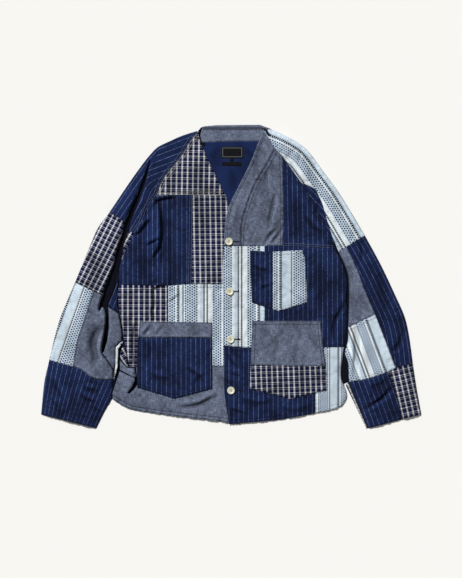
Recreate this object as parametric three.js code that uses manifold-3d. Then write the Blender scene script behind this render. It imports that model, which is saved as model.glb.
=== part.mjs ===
// A collarless patchwork jacket with raglan sleeves, buttoned and laid flat on its back.
// Millimetres. +Y points to the neck, +Z up from the surface it lies on, +X to the wearer's left.
// Every cut piece is a cloth wall. The under layer is flat on z = 0, and the upper layer
// follows one soft relief, so that pockets and the overlapping front are the same relief moved up.
import * as THREE from 'three'
import { mergeVertices } from 'three/addons/utils/BufferGeometryUtils.js'
import Module from 'manifold-3d'

const wasm = await Module()
wasm.setup()

// ---------------------------------------------------------------- driving dimensions
const CLOTH = 1.2 // thickness of every cloth wall
const GAP = 0.3 // clearance between pieces, at seams and between layers
const LAYER = CLOTH + GAP // how far one layer lies above the next
const BODY_LOFT = 6 // air under the fronts
const SLEEVE_LOFT = 14 // air inside the sleeves
const BODY_HALF_WIDTH = 180 // where the fronts begin to rise into the sleeves
const SLEEVE_REACH = 330 // where the sleeves have their full loft
const EDGE_ROLL = 24 // how far in from an edge the cloth takes to rise
const CELL = 30 // grid of the relief
const RELIEF_TOP = 60 // a height above every fold
const LAP_FROM = 40 // where the left front begins to come down from the lap
const LAP_TO = 150 // where it is down beside the sleeve
const LABEL = 1 // thickness of a woven label
const BUTTON = { radius: 9.2, height: 3.2, rim: 1.6, dish: 0.7, sides: 16 }
const BUTTON_HOLE = 0.9 // radius
const BUTTON_HOLE_RING = 2.1 // from the button's centre to each hole
const BUTTON_PLACES = [[-6, 86], [-4, -36], [-2, -153], [-1, -278]]

// ---------------------------------------------------------------- seam and edge lines
// Each line is one stretch of seam, fold or edge, from neck to hem or from right to left side.
const line = {
  // wearer's right front
  rightNeckline: [[-82, 353], [-77, 334], [-64, 302], [-47, 264], [-29, 229], [-14, 199]],
  rightEdgeUpper: [[-14, 199], [-6, 177], [11, 134], [21, 78], [21, -18]],
  rightEdgeMiddle: [[21, -18], [21, -219]],
  rightEdgeLower: [[21, -219], [21, -361]],
  rightRaglanUpper: [[-82, 353], [-97, 337], [-124, 293], [-166, 240], [-184, 198]],
  rightRaglanMiddle: [[-184, 198], [-200, 178], [-209, 159], [-222, 128], [-238, 106]],
  rightRaglanLower: [[-238, 106], [-269, 40]],
  rightSideUpper: [[-269, 40], [-274, 22], [-275, -20]],
  rightSideLower: [[-275, -20], [-278, -37], [-277, -62], [-274, -90], [-266, -127], [-264, -152],
    [-259, -171], [-253, -202], [-249, -221]],
  yokeSeam: [[-184, 198], [-94, 200]],
  yokeSeamCentre: [[-94, 200], [-14, 199]],
  centreSeam: [[-94, 200], [-98, -18]],
  waistSeamSide: [[-275, -20], [-167, -22], [-155, -22]],
  waistSeamMiddle: [[-155, -22], [-98, -18]],
  waistSeamCentre: [[-98, -18], [21, -18]],
  hipSeam: [[-155, -22], [-155, -219]],
  rightHemSeamSide: [[-249, -221], [-234, -221]],
  rightHemSeamMiddle: [[-234, -221], [-155, -219]],
  rightHemSeamCentre: [[-155, -219], [21, -219]],
  rightHem: [[-291, -299], [-278, -309], [-247, -324], [-206, -332], [-122, -343], [-44, -352],
    [21, -361]],
  // wearer's right sleeve
  rightShoulder: [[-84, 357], [-119, 346], [-151, 332], [-181, 317], [-198, 300], [-212, 283],
    [-244, 239], [-298, 159]],
  rightElbow: [[-298, 159], [-327, 119], [-343, 83], [-383, -14]],
  rightForearm: [[-383, -14], [-422, -109], [-446, -204]],
  rightCuffOuter: [[-446, -204], [-458, -258], [-466, -337]],
  rightCuffHem: [[-466, -337], [-331, -371]],
  rightCuffInner: [[-290, -252], [-292, -284], [-293, -299], [-311, -330], [-331, -371]],
  foldOuterUpper: [[-198, 286], [-208, 259], [-217, 234], [-227, 209], [-238, 184], [-251, 155],
    [-259, 132]],
  foldOuterLower: [[-259, 132], [-274, 84], [-283, 53], [-290, 25], [-300, -2], [-310, -29],
    [-314, -45]],
  foldInnerUpper: [[-198, 286], [-204, 257], [-210, 232], [-220, 203], [-232, 169], [-245, 137],
    [-251, 113]],
  foldInnerLower: [[-251, 113], [-262, 83], [-269, 40]],
  rightUpperArmSeam: [[-298, 159], [-259, 132]],
  rightUpperArmSeamInner: [[-251, 113], [-238, 106]],
  rightElbowSeam: [[-383, -14], [-337, -36]],
  rightElbowSeamInner: [[-337, -36], [-314, -45]],
  rightForearmSeam: [[-337, -36], [-356, -96], [-376, -158], [-387, -220]],
  rightInnerArm: [[-314, -45], [-321, -64], [-323, -84], [-317, -74], [-311, -77], [-306, -96],
    [-309, -127], [-314, -158], [-316, -185], [-302, -206], [-290, -227], [-290, -252]],
  rightCuffSeamOuter: [[-446, -204], [-387, -220]],
  rightCuffSeamInner: [[-387, -220], [-366, -228], [-347, -243], [-325, -251], [-290, -252]],
  rightUnderarm: [[-269, 40], [-276, 10], [-286, -32], [-302, -74], [-310, -120], [-317, -186],
    [-289, -230], [-288, -252], [-291, -299]],
  // wearer's left front
  lapNeck: [[81, 356], [68, 334], [50, 287], [16, 218], [-6, 173], [-13, 147], [-16, 122], [-18, 75]],
  lapMiddle: [[-18, 75], [-21, 17], [-20, -57], [-19, -169]],
  lapLower: [[-19, -169], [-17, -283], [-12, -321], [-6, -361]],
  bandSeam: [[106, 313], [91, 284], [63, 237], [47, 203], [34, 165], [26, 137], [23, 103], [23, 75]],
  leftRaglanBand: [[81, 356], [87, 345], [106, 313]],
  leftRaglanChambray: [[106, 313], [125, 294]],
  leftRaglanTwill: [[125, 294], [172, 228]],
  leftRaglanLower: [[172, 228], [190, 198], [212, 159], [237, 110], [253, 69]],
  chestSeam: [[125, 294], [127, 240], [128, 178], [127, 75]],
  bustSeamBand: [[-18, 75], [23, 75]],
  bustSeamPlacket: [[23, 75], [82, 75]],
  bustSeamChest: [[82, 75], [127, 75]],
  bustSeamSide: [[127, 75], [253, 69]],
  placketSeam: [[82, 75], [82, -174]],
  leftHemSeamPlacket: [[-19, -169], [48, -174], [82, -174]],
  leftHemSeamMiddle: [[82, -174], [204, -174]],
  leftHemSeamSide: [[204, -174], [276, -172]],
  leftHemPanelSeam: [[204, -174], [206, -334]],
  leftSideUpper: [[253, 69], [262, 51], [273, 29], [281, 7], [284, -18], [281, -52], [283, -74],
    [283, -108], [280, -146], [276, -172]],
  leftSideLower: [[276, -172], [271, -209], [268, -240], [272, -258], [281, -279], [282, -299],
    [273, -314]],
  leftHemCentre: [[-6, -361], [41, -357], [109, -351], [159, -343], [206, -334]],
  leftHemSide: [[206, -334], [250, -324], [273, -314]],
  // wearer's left sleeve
  leftShoulder: [[81, 356], [83, 361], [100, 359], [136, 343], [172, 322], [190, 305], [222, 262],
    [265, 203], [327, 101]],
  leftElbow: [[327, 101], [366, 29], [400, -43], [424, -98], [435, -146], [444, -211]],
  leftCuffOuter: [[444, -211], [453, -271], [465, -337]],
  leftCuffHemOuter: [[418, -349], [465, -337]],
  leftCuffHemInner: [[336, -371], [418, -349]],
  leftFrontFold: [[172, 228], [204, 215], [214, 197], [223, 176], [233, 141], [246, 100]],
  leftFrontFoldEnd: [[246, 100], [262, 62]],
  leftUpperArmSeamInner: [[262, 62], [281, 73]],
  leftUpperArmSeamOuter: [[281, 73], [327, 101]],
  leftArmSeamUpper: [[281, 73], [305, 22], [325, -30], [351, -92]],
  leftArmSeamLower: [[351, -92], [374, -149], [402, -222]],
  leftForearmSeam: [[286, -124], [325, -104], [351, -92]],
  leftInnerArmUpper: [[262, 62], [277, 30], [286, 4], [288, -33], [288, -64], [286, -124]],
  leftInnerArmLower: [[286, -124], [285, -158], [278, -188], [285, -209], [288, -257]],
  leftCuffSeamInner: [[288, -257], [331, -250], [382, -233]],
  leftCuffSeamOuter: [[382, -233], [402, -222]],
  leftCuffSeamEnd: [[402, -222], [444, -211]],
  leftCuffPanelSeam: [[382, -233], [403, -290], [418, -349]],
  leftCuffInner: [[288, -257], [336, -371]],
  leftUnderarm: [[253, 69], [262, 54], [275, 28], [283, 4], [285, -40], [284, -110], [279, -160],
    [274, -200], [273, -248], [276, -262]],
  leftCuffEdgeSeam: [[285, -258], [333, -371]],
  // back
  neckSeam: [[-72, 329], [-2, 331], [91, 333]],
  neckbandEndRight: [[-72, 329], [-76, 346], [-70, 367]],
  neckbandEndLeft: [[74, 371], [75, 363], [80, 356], [85, 345], [91, 333]],
  backHem: [[276, -262], [279, -297], [271, -311], [206, -331], [109, -348], [21, -357],
    [-122, -340], [-206, -329], [-247, -320], [-276, -306], [-291, -299]],
}

// Lines along which the upper layer comes down: [line, share of the height lost, reach].
const edges = [
  ...['rightShoulder', 'rightElbow', 'rightForearm', 'rightCuffOuter', 'rightCuffInner',
    'leftShoulder', 'leftElbow', 'leftCuffOuter', 'leftCuffInner'].map((name) => [name, 0.95, EDGE_ROLL]),
  ...['rightSideUpper', 'rightSideLower', 'leftSideUpper', 'leftSideLower', 'foldInnerLower',
    'leftInnerArmUpper', 'leftInnerArmLower'].map((name) => [name, 0.55, 14]),
  ...['rightHem', 'leftHemCentre', 'leftHemSide'].map((name) => [name, 0.8, EDGE_ROLL]),
  ...['rightCuffHem', 'leftCuffHemInner', 'leftCuffHemOuter'].map((name) => [name, 0.7, EDGE_ROLL]),
  ...['rightNeckline', 'lapNeck'].map((name) => [name, 0.5, EDGE_ROLL]),
]

// The largest folds: where each runs, its half width and its height (troughs are negative).
const folds = [
  { path: [[-168, 178], [-166, 90], [-168, 53]], spread: 9, height: -3.5 },
  { path: [[-188, 165], [-187, 100], [-192, 60]], spread: 14, height: 4 },
  { path: [[-186, 172], [-181, 184], [-163, 190], [-138, 193]], spread: 8, height: -3 },
  { path: [[-192, -37], [-190, -65], [-193, -105]], spread: 9, height: -3 },
  { path: [[-125, -318], [-88, -315], [-59, -302], [-41, -293]], spread: 9, height: -3 },
  { path: [[-319, -124], [-334, -146], [-336, -171], [-331, -196], [-339, -209]], spread: 9, height: -6 },
  { path: [[-306, -130], [-317, -165], [-316, -200]], spread: 10, height: 4 },
  { path: [[-364, -290], [-356, -299], [-334, -307]], spread: 8, height: -3.5 },
  { path: [[-232, 232], [-262, 175], [-300, 90]], spread: 16, height: 4 },
  { path: [[105, 197], [100, 172], [92, 128]], spread: 8, height: -3 },
  { path: [[109, 115], [93, 100], [81, 79]], spread: 8, height: -3 },
  { path: [[172, 303], [197, 272], [201, 247], [209, 215]], spread: 11, height: -4 },
  { path: [[275, -68], [256, -102], [250, -127], [251, -152]], spread: 9, height: -4 },
  { path: [[315, 87], [317, 53], [315, 37]], spread: 7, height: -2.5 },
  { path: [[415, -140], [409, -165], [393, -183]], spread: 8, height: -3 },
  { path: [[303, -127], [306, -165], [304, -209], [301, -240]], spread: 9, height: -5 },
  { path: [[390, -271], [369, -296], [344, -312], [331, -321]], spread: 9, height: -4 },
]

// ---------------------------------------------------------------- the relief of the upper layer
const clamp = THREE.MathUtils.clamp
const smoothstep = THREE.MathUtils.smoothstep

// Nearest distance from (x, y) to a line, and how far along the line that is, from 0 to 1.
function nearest(path, x, y) {
  let best = { distance: Infinity, along: 0 }
  path.slice(1).forEach(([bx, by], i) => {
    const [ax, ay] = path[i]
    const dx = bx - ax
    const dy = by - ay
    const t = clamp(((x - ax) * dx + (y - ay) * dy) / (dx * dx + dy * dy), 0, 1)
    const distance = Math.hypot(x - ax - t * dx, y - ay - t * dy)
    if (distance < best.distance) best = { distance, along: (i + t) / (path.length - 1) }
  })
  return best
}

function relief(x, y) {
  const air = THREE.MathUtils.lerp(BODY_LOFT, SLEEVE_LOFT,
    smoothstep(Math.abs(x), BODY_HALF_WIDTH, SLEEVE_REACH))
  let loft = air
  for (const [name, share, reach] of edges) {
    loft *= 1 - share * Math.exp(-nearest(line[name], x, y).distance / reach)
  }
  const room = loft / air // folds fade where the cloth is held down at an edge
  for (const fold of folds) {
    const { distance, along } = nearest(fold.path, x, y)
    const ends = 0.3 + 0.7 * Math.sin(Math.PI * along)
    loft += room * fold.height * ends * Math.exp(-((distance / fold.spread) ** 2))
  }
  return Math.max(loft, 0)
}

// ---------------------------------------------------------------- solids
function solidFrom(geometry) {
  const bare = new THREE.BufferGeometry()
  bare.setAttribute('position', geometry.getAttribute('position'))
  if (geometry.index) bare.setIndex(geometry.index)
  const merged = mergeVertices(bare, 1e-4)
  return new wasm.Manifold(new wasm.Mesh({
    numProp: 3,
    vertProperties: new Float32Array(merged.getAttribute('position').array),
    triVerts: new Uint32Array(merged.index.array),
  }))
}

function geometryFrom(solid) {
  const mesh = solid.getMesh()
  const geometry = new THREE.BufferGeometry()
  geometry.setAttribute('position', new THREE.BufferAttribute(mesh.vertProperties, 3))
  geometry.setIndex(new THREE.BufferAttribute(mesh.triVerts, 1))
  return geometry
}

// One outline from several lines, end to end; a name starting with '-' runs backwards.
function outlineOf(names) {
  const points = names.flatMap((name) => {
    if (Array.isArray(name)) return [name]
    return name[0] === '-' ? [...line[name.slice(1)]].reverse() : line[name]
  })
  const kept = points.filter(([x, y], i) => {
    const [px, py] = points[(i + points.length - 1) % points.length]
    return Math.hypot(x - px, y - py) > 0.01
  })
  return kept.map(([x, y]) => new THREE.Vector2(x, y))
}

// The outline moved inwards by a distance, corner by corner.
function inset(points, distance) {
  const turn = THREE.ShapeUtils.isClockWise(points) ? -1 : 1
  return points.map((point, i) => {
    const before = point.clone().sub(points[(i + points.length - 1) % points.length]).normalize()
    const after = points[(i + 1) % points.length].clone().sub(point).normalize()
    const inward = new THREE.Vector2(-before.y - after.y, before.x + after.x).normalize()
    const cosHalf = Math.max(inward.dot(new THREE.Vector2(-before.y, before.x)), 0.35)
    return point.clone().addScaledVector(inward, turn * distance / cosHalf)
  })
}

function prism(points, low, high) {
  const geometry = new THREE.ExtrudeGeometry(new THREE.Shape(points),
    { depth: high - low, bevelEnabled: false })
  return solidFrom(geometry.translate(0, 0, low))
}

// A slab of cloth over a rectangle of whole grid cells. Its two faces follow the relief with the
// same triangles, so that a piece lying on another keeps an even gap to it.
function reliefSlab(box, layers) {
  const x0 = Math.floor(box.min.x / CELL) - 1
  const y0 = Math.floor(box.min.y / CELL) - 1
  const nx = Math.ceil(box.max.x / CELL) + 1 - x0
  const ny = Math.ceil(box.max.y / CELL) + 1 - y0
  const face = new THREE.PlaneGeometry(nx, ny, nx, ny).translate(x0 + nx / 2, y0 + ny / 2, 0)
  const corners = face.getAttribute('position')
  const triangles = [...face.index.array]
  const count = corners.count
  const points = []
  for (const rise of [CLOTH, 0]) {
    for (let i = 0; i < count; i++) {
      const x = corners.getX(i) * CELL
      const y = corners.getY(i) * CELL
      points.push(x, y, layers(x) * LAYER + relief(x, y) + rise)
    }
  }
  const columns = nx + 1
  const rim = [] // the rectangle's border, clockwise seen from above
  for (let i = 0; i < nx; i++) rim.push(i)
  for (let j = 0; j < ny; j++) rim.push(nx + j * columns)
  for (let i = nx; i > 0; i--) rim.push(ny * columns + i)
  for (let j = ny; j > 0; j--) rim.push(j * columns)
  const walls = rim.flatMap((a, i) => {
    const b = rim[(i + 1) % rim.length]
    return [a, b, b + count, a, b + count, a + count]
  })
  const under = triangles.map((_, i) => triangles[i - (i % 3) + (2 - (i % 3))] + count)
  const geometry = new THREE.BufferGeometry()
  geometry.setAttribute('position', new THREE.Float32BufferAttribute(points, 3))
  geometry.setIndex([...triangles, ...under, ...walls])
  return solidFrom(geometry)
}

const jacket = new THREE.Group()

const cloths = {
  twill: { color: '#1b2a56', roughness: 0.92 },
  check: { color: '#6f7280', roughness: 0.95 },
  dobby: { color: '#bccbde', roughness: 0.95 },
  chambray: { color: '#63697f', roughness: 0.95 },
  plain: { color: '#1c2d5e', roughness: 0.92 },
  label: { color: '#15151a', roughness: 0.8 },
  button: { color: '#d7d7c0', roughness: 0.35 },
}

function add(name, cloth, geometry) {
  const material = new THREE.MeshStandardMaterial({ ...cloths[cloth], metalness: 0 })
  const mesh = new THREE.Mesh(geometry, material)
  mesh.name = name
  jacket.add(mesh)
}

// Layers of cloth under a piece: one on the right half and the sleeves. The left front laps over
// the right front, so it rises to two near the centre and comes back to one towards its side.
const single = () => 1
const lapped = (x) => 2 - smoothstep(x, LAP_FROM, LAP_TO)
const onSingle = () => 2
const onLapped = (x) => lapped(x) + 1

// A piece of the upper layer, with the number of layers that lie under it at each x.
function upperPiece(name, cloth, names, layers = single) {
  const points = inset(outlineOf(names), GAP / 2)
  const slab = reliefSlab(new THREE.Box2().setFromPoints(points), layers)
  add(name, cloth, geometryFrom(slab.intersect(prism(points, -1, RELIEF_TOP))))
}

// A piece of the flat under layer, or one that lies flat on it.
function flatPiece(name, cloth, names, low = 0, thickness = CLOTH) {
  const points = inset(outlineOf(names), GAP / 2)
  add(name, cloth, geometryFrom(prism(points, low, low + thickness)))
}

// ---------------------------------------------------------------- under layer
flatPiece('back_body', 'plain', ['neckSeam', 'leftRaglanChambray', 'leftRaglanTwill',
  'leftRaglanLower', 'leftUnderarm', 'backHem', '-rightUnderarm', '-rightRaglanLower',
  '-rightRaglanMiddle', '-rightRaglanUpper', [-81, 358], [-74, 366], '-neckbandEndRight'])
flatPiece('back_neckband_chambray', 'chambray', ['-neckSeam', 'neckbandEndRight', [74, 371],
  'neckbandEndLeft'])
flatPiece('back_neckband_rim_chambray', 'chambray', [[-69, 362], [-69, 368], [-38, 371], [69, 372],
  [98, 361.8], [82, 363], [74, 362.5]], LAYER)
flatPiece('right_sleeve_back_twill', 'twill', [[-82, 353], 'rightShoulder', 'rightElbow',
  'rightForearm', 'rightCuffOuter', 'rightCuffHem', [-311, -330], [-293, -300], '-rightUnderarm',
  '-rightRaglanLower', '-rightRaglanMiddle', '-rightRaglanUpper'])
flatPiece('left_sleeve_back_twill', 'twill', ['leftShoulder', 'leftElbow', 'leftCuffOuter',
  [418, -349], '-leftCuffEdgeSeam', '-leftUnderarm', '-leftRaglanLower', '-leftRaglanTwill',
  '-leftRaglanChambray', '-leftRaglanBand'])
flatPiece('left_sleeve_edge_check', 'check', ['leftCuffEdgeSeam', [331, -373], [280, -266]])
flatPiece('label_main', 'label', [[-24, 291], [28, 291], [28, 318], [-24, 318]], LAYER, LABEL)
flatPiece('label_size', 'label', [[-4, 283], [5, 283], [5, 290], [-4, 290]], LAYER, LABEL)
flatPiece('label_care', 'label', [[-23, 272], [24, 272], [24, 281], [-23, 281]], LAYER, LABEL)

// ---------------------------------------------------------------- wearer's right sleeve
upperPiece('right_sleeve_top_twill', 'twill', [[-82, 353], 'rightShoulder', 'rightUpperArmSeam',
  '-foldOuterUpper', 'foldInnerUpper', 'rightUpperArmSeamInner', '-rightRaglanMiddle',
  '-rightRaglanUpper'])
upperPiece('right_sleeve_check', 'check', ['rightElbow', 'rightElbowSeam', 'rightElbowSeamInner',
  '-foldOuterLower', '-rightUpperArmSeam'])
upperPiece('right_sleeve_check_inner', 'check', ['foldInnerLower', '-rightRaglanLower',
  '-rightUpperArmSeamInner'])
upperPiece('right_sleeve_dobby', 'dobby', ['rightForearm', 'rightCuffSeamOuter',
  '-rightForearmSeam', '-rightElbowSeam'])
upperPiece('right_sleeve_chambray', 'chambray', ['rightForearmSeam', 'rightCuffSeamInner',
  '-rightInnerArm', '-rightElbowSeamInner'])
upperPiece('right_sleeve_cuff_twill', 'twill', ['rightCuffOuter', 'rightCuffHem',
  '-rightCuffInner', '-rightCuffSeamInner', '-rightCuffSeamOuter'])

// The side under the arm, where the cloth turns under between the sleeve and the front.
upperPiece('right_side_twill', 'twill', [[-276, 18], [-277, -20], [-280, -38], [-279, -62],
  [-276, -88], [-288, -80], [-300, -72], [-299, -64], [-286, -33], [-279, -3]])
upperPiece('right_side_chambray', 'chambray', [[-301, -74], [-288, -82], [-276, -90.5],
  [-272, -111], [-268, -140], [-269, -155], [-284, -170], [-285, -216], [-288, -226], [-302, -204],
  [-314, -187], [-310, -182], [-303, -158], [-299, -127], [-299, -96]])
upperPiece('right_side_dobby', 'dobby', [[-267, -157], [-265, -160], [-277, -177], [-278, -218],
  [-286, -251], [-288.5, -250], [-286.5, -229], [-283.5, -217], [-282.5, -172]])
upperPiece('right_side_check_turned', 'check', [[-264.5, -164], [-260.5, -173], [-254.5, -203],
  [-251, -220.5], [-253, -221], [-271, -203], [-272, -187]])
upperPiece('right_side_chambray_turned', 'chambray', [[-273, -204], [-254, -223], [-236, -223],
  [-233, -243], [-237, -247], [-272, -228]])

// ---------------------------------------------------------------- wearer's right front
upperPiece('right_front_yoke_check', 'check', ['rightRaglanUpper', 'yokeSeam', 'yokeSeamCentre',
  '-rightNeckline'])
upperPiece('right_front_chest_twill', 'twill', ['rightRaglanMiddle', 'rightRaglanLower',
  'rightSideUpper', 'waistSeamSide', 'waistSeamMiddle', '-centreSeam', '-yokeSeam'])
upperPiece('right_front_centre_check', 'check', ['centreSeam', 'waistSeamCentre',
  '-rightEdgeUpper', '-yokeSeamCentre'])
upperPiece('right_front_side_check', 'check', ['rightSideLower', 'rightHemSeamSide',
  'rightHemSeamMiddle', '-hipSeam', '-waistSeamSide'])
upperPiece('right_front_waist_dobby', 'dobby', ['hipSeam', 'rightHemSeamCentre',
  '-rightEdgeMiddle', '-waistSeamCentre', '-waistSeamMiddle'])
upperPiece('right_front_hem_chambray', 'chambray', ['-rightHemSeamCentre', '-rightHemSeamMiddle',
  [-231, -243], [-229, -263], [-238, -276], [-250, -286], [-255, -284], [-244, -271], [-237, -256],
  [-236, -249], [-273, -231], [-291, -284], 'rightHem', '-rightEdgeLower'])
upperPiece('right_pocket_band_chambray', 'chambray', [[-224, -109], [-228, -149], [-47, -150],
  [-47, -112]], onSingle)
upperPiece('right_pocket_twill', 'twill', [[-228, -149], [-231, -202], [-230, -271], [-138, -298],
  [-47, -274], [-47, -150]], onSingle)

// ---------------------------------------------------------------- wearer's left front
upperPiece('left_front_neckband_chambray', 'chambray', ['lapNeck', 'bustSeamBand', '-bandSeam',
  '-leftRaglanBand'], lapped)
upperPiece('left_front_chest_chambray', 'chambray', ['bandSeam', 'bustSeamPlacket',
  'bustSeamChest', '-chestSeam', '-leftRaglanChambray'], lapped)
upperPiece('left_front_chest_twill', 'twill', ['chestSeam', 'bustSeamSide', '-leftRaglanLower',
  '-leftRaglanTwill'], lapped)
upperPiece('left_front_body_twill', 'twill', ['placketSeam', 'leftHemSeamMiddle',
  'leftHemSeamSide', '-leftSideUpper', '-bustSeamSide', '-bustSeamChest'], lapped)
upperPiece('left_front_placket_dobby', 'dobby', ['lapMiddle', 'leftHemSeamPlacket', '-placketSeam',
  '-bustSeamPlacket', '-bustSeamBand'], lapped)
upperPiece('left_front_hem_twill', 'twill', ['lapLower', 'leftHemCentre', '-leftHemPanelSeam',
  '-leftHemSeamMiddle', '-leftHemSeamPlacket'], lapped)
upperPiece('left_front_side_dobby', 'dobby', ['leftHemPanelSeam', 'leftHemSide', '-leftSideLower',
  '-leftHemSeamSide'], lapped)
upperPiece('chest_pocket_twill', 'twill', [[45, 64], [50, -63], [81, -73], [101, -80], [101, 61]],
  onLapped)
upperPiece('chest_pocket_dobby', 'dobby', [[101, 61], [101, -80], [117, -84], [185, -63],
  [184, -33], [180, 43], [173, 65]], onLapped)
upperPiece('left_pocket_chambray', 'chambray', [[51, -108], [49, -158], [47, -216], [231, -219],
  [223, -158], [218, -108]], onLapped)
upperPiece('left_pocket_check', 'check', [[47, -216], [45, -273], [144, -299], [233, -277],
  [233, -249], [231, -219]], onLapped)

// ---------------------------------------------------------------- wearer's left sleeve
upperPiece('left_sleeve_front_twill', 'twill', ['leftRaglanLower', [258, 64], '-leftFrontFold'])
upperPiece('left_sleeve_top_dobby', 'dobby', ['leftRaglanBand', 'leftRaglanChambray',
  'leftRaglanTwill', 'leftFrontFold', 'leftFrontFoldEnd', 'leftUpperArmSeamInner',
  'leftUpperArmSeamOuter', '-leftShoulder'])
upperPiece('left_sleeve_outer_twill', 'twill', ['leftArmSeamUpper', 'leftArmSeamLower',
  'leftCuffSeamEnd', '-leftElbow', '-leftUpperArmSeamOuter'])
upperPiece('left_sleeve_chambray', 'chambray', ['leftInnerArmUpper', 'leftForearmSeam',
  '-leftArmSeamUpper', '-leftUpperArmSeamInner'])
upperPiece('left_sleeve_lower_dobby', 'dobby', ['leftInnerArmLower', 'leftCuffSeamInner',
  'leftCuffSeamOuter', '-leftArmSeamLower', '-leftForearmSeam'])
upperPiece('left_sleeve_cuff_twill', 'twill', ['leftCuffInner', 'leftCuffHemInner',
  '-leftCuffPanelSeam', '-leftCuffSeamInner'])
upperPiece('left_sleeve_cuff_check', 'check', ['leftCuffPanelSeam', 'leftCuffHemOuter',
  '-leftCuffOuter', '-leftCuffSeamEnd', '-leftCuffSeamOuter'])

// ---------------------------------------------------------------- buttons
// Four-hole buttons with a raised rim, each lying flat on the left front over its buttonhole.
function buttonSolid() {
  const { radius, height, rim, dish, sides } = BUTTON
  const profile = [[0, 0], [radius - 0.8, 0], [radius, 1], [radius, height - 0.8],
    [radius - 0.7, height], [radius - rim, height], [radius - rim - 1, height - dish],
    [0, height - dish]].map(([x, y]) => new THREE.Vector2(x, y))
  let solid = solidFrom(new THREE.LatheGeometry(profile, sides).rotateX(Math.PI / 2))
  for (let i = 0; i < 4; i++) {
    const angle = Math.PI / 4 + i * Math.PI / 2
    const hole = new THREE.CylinderGeometry(BUTTON_HOLE, BUTTON_HOLE, 3 * height, 6)
    hole.rotateX(Math.PI / 2)
    hole.translate(BUTTON_HOLE_RING * Math.cos(angle), BUTTON_HOLE_RING * Math.sin(angle), 0)
    solid = solid.subtract(solidFrom(hole))
  }
  return solid
}

// The highest the left front's lower face gets within one grid cell of a point.
function highestAround(x, y) {
  const turns = [...Array(16).keys()].map((i) => i * Math.PI / 8)
  return Math.max(...turns.map((a) => relief(x + CELL * Math.cos(a), y + CELL * Math.sin(a))))
}

BUTTON_PLACES.forEach(([x, y], i) => {
  const geometry = geometryFrom(buttonSolid())
  geometry.translate(x, y, highestAround(x, y) + 3 * LAYER)
  add(`button_${i + 1}`, 'button', geometry)
})

export default jacket
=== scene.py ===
import math

import bpy
import bmesh
import numpy as np
from mathutils import Matrix, Vector, noise
from mathutils.bvhtree import BVHTree


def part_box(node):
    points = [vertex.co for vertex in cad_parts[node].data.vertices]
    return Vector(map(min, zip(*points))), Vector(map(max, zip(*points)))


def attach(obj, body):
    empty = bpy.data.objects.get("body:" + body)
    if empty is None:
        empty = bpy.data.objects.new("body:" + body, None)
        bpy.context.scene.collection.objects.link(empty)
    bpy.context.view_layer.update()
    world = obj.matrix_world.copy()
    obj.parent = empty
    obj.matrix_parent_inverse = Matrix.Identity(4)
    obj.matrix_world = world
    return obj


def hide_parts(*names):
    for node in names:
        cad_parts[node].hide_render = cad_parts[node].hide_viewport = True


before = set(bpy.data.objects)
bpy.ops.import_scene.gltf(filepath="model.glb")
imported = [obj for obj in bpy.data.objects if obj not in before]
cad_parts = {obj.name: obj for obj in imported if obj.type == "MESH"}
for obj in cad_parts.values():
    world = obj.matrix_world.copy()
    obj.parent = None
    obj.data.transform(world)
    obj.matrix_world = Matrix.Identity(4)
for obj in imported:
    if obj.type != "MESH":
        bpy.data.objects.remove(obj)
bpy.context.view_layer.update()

scene = bpy.context.scene
MM = 0.001

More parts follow.
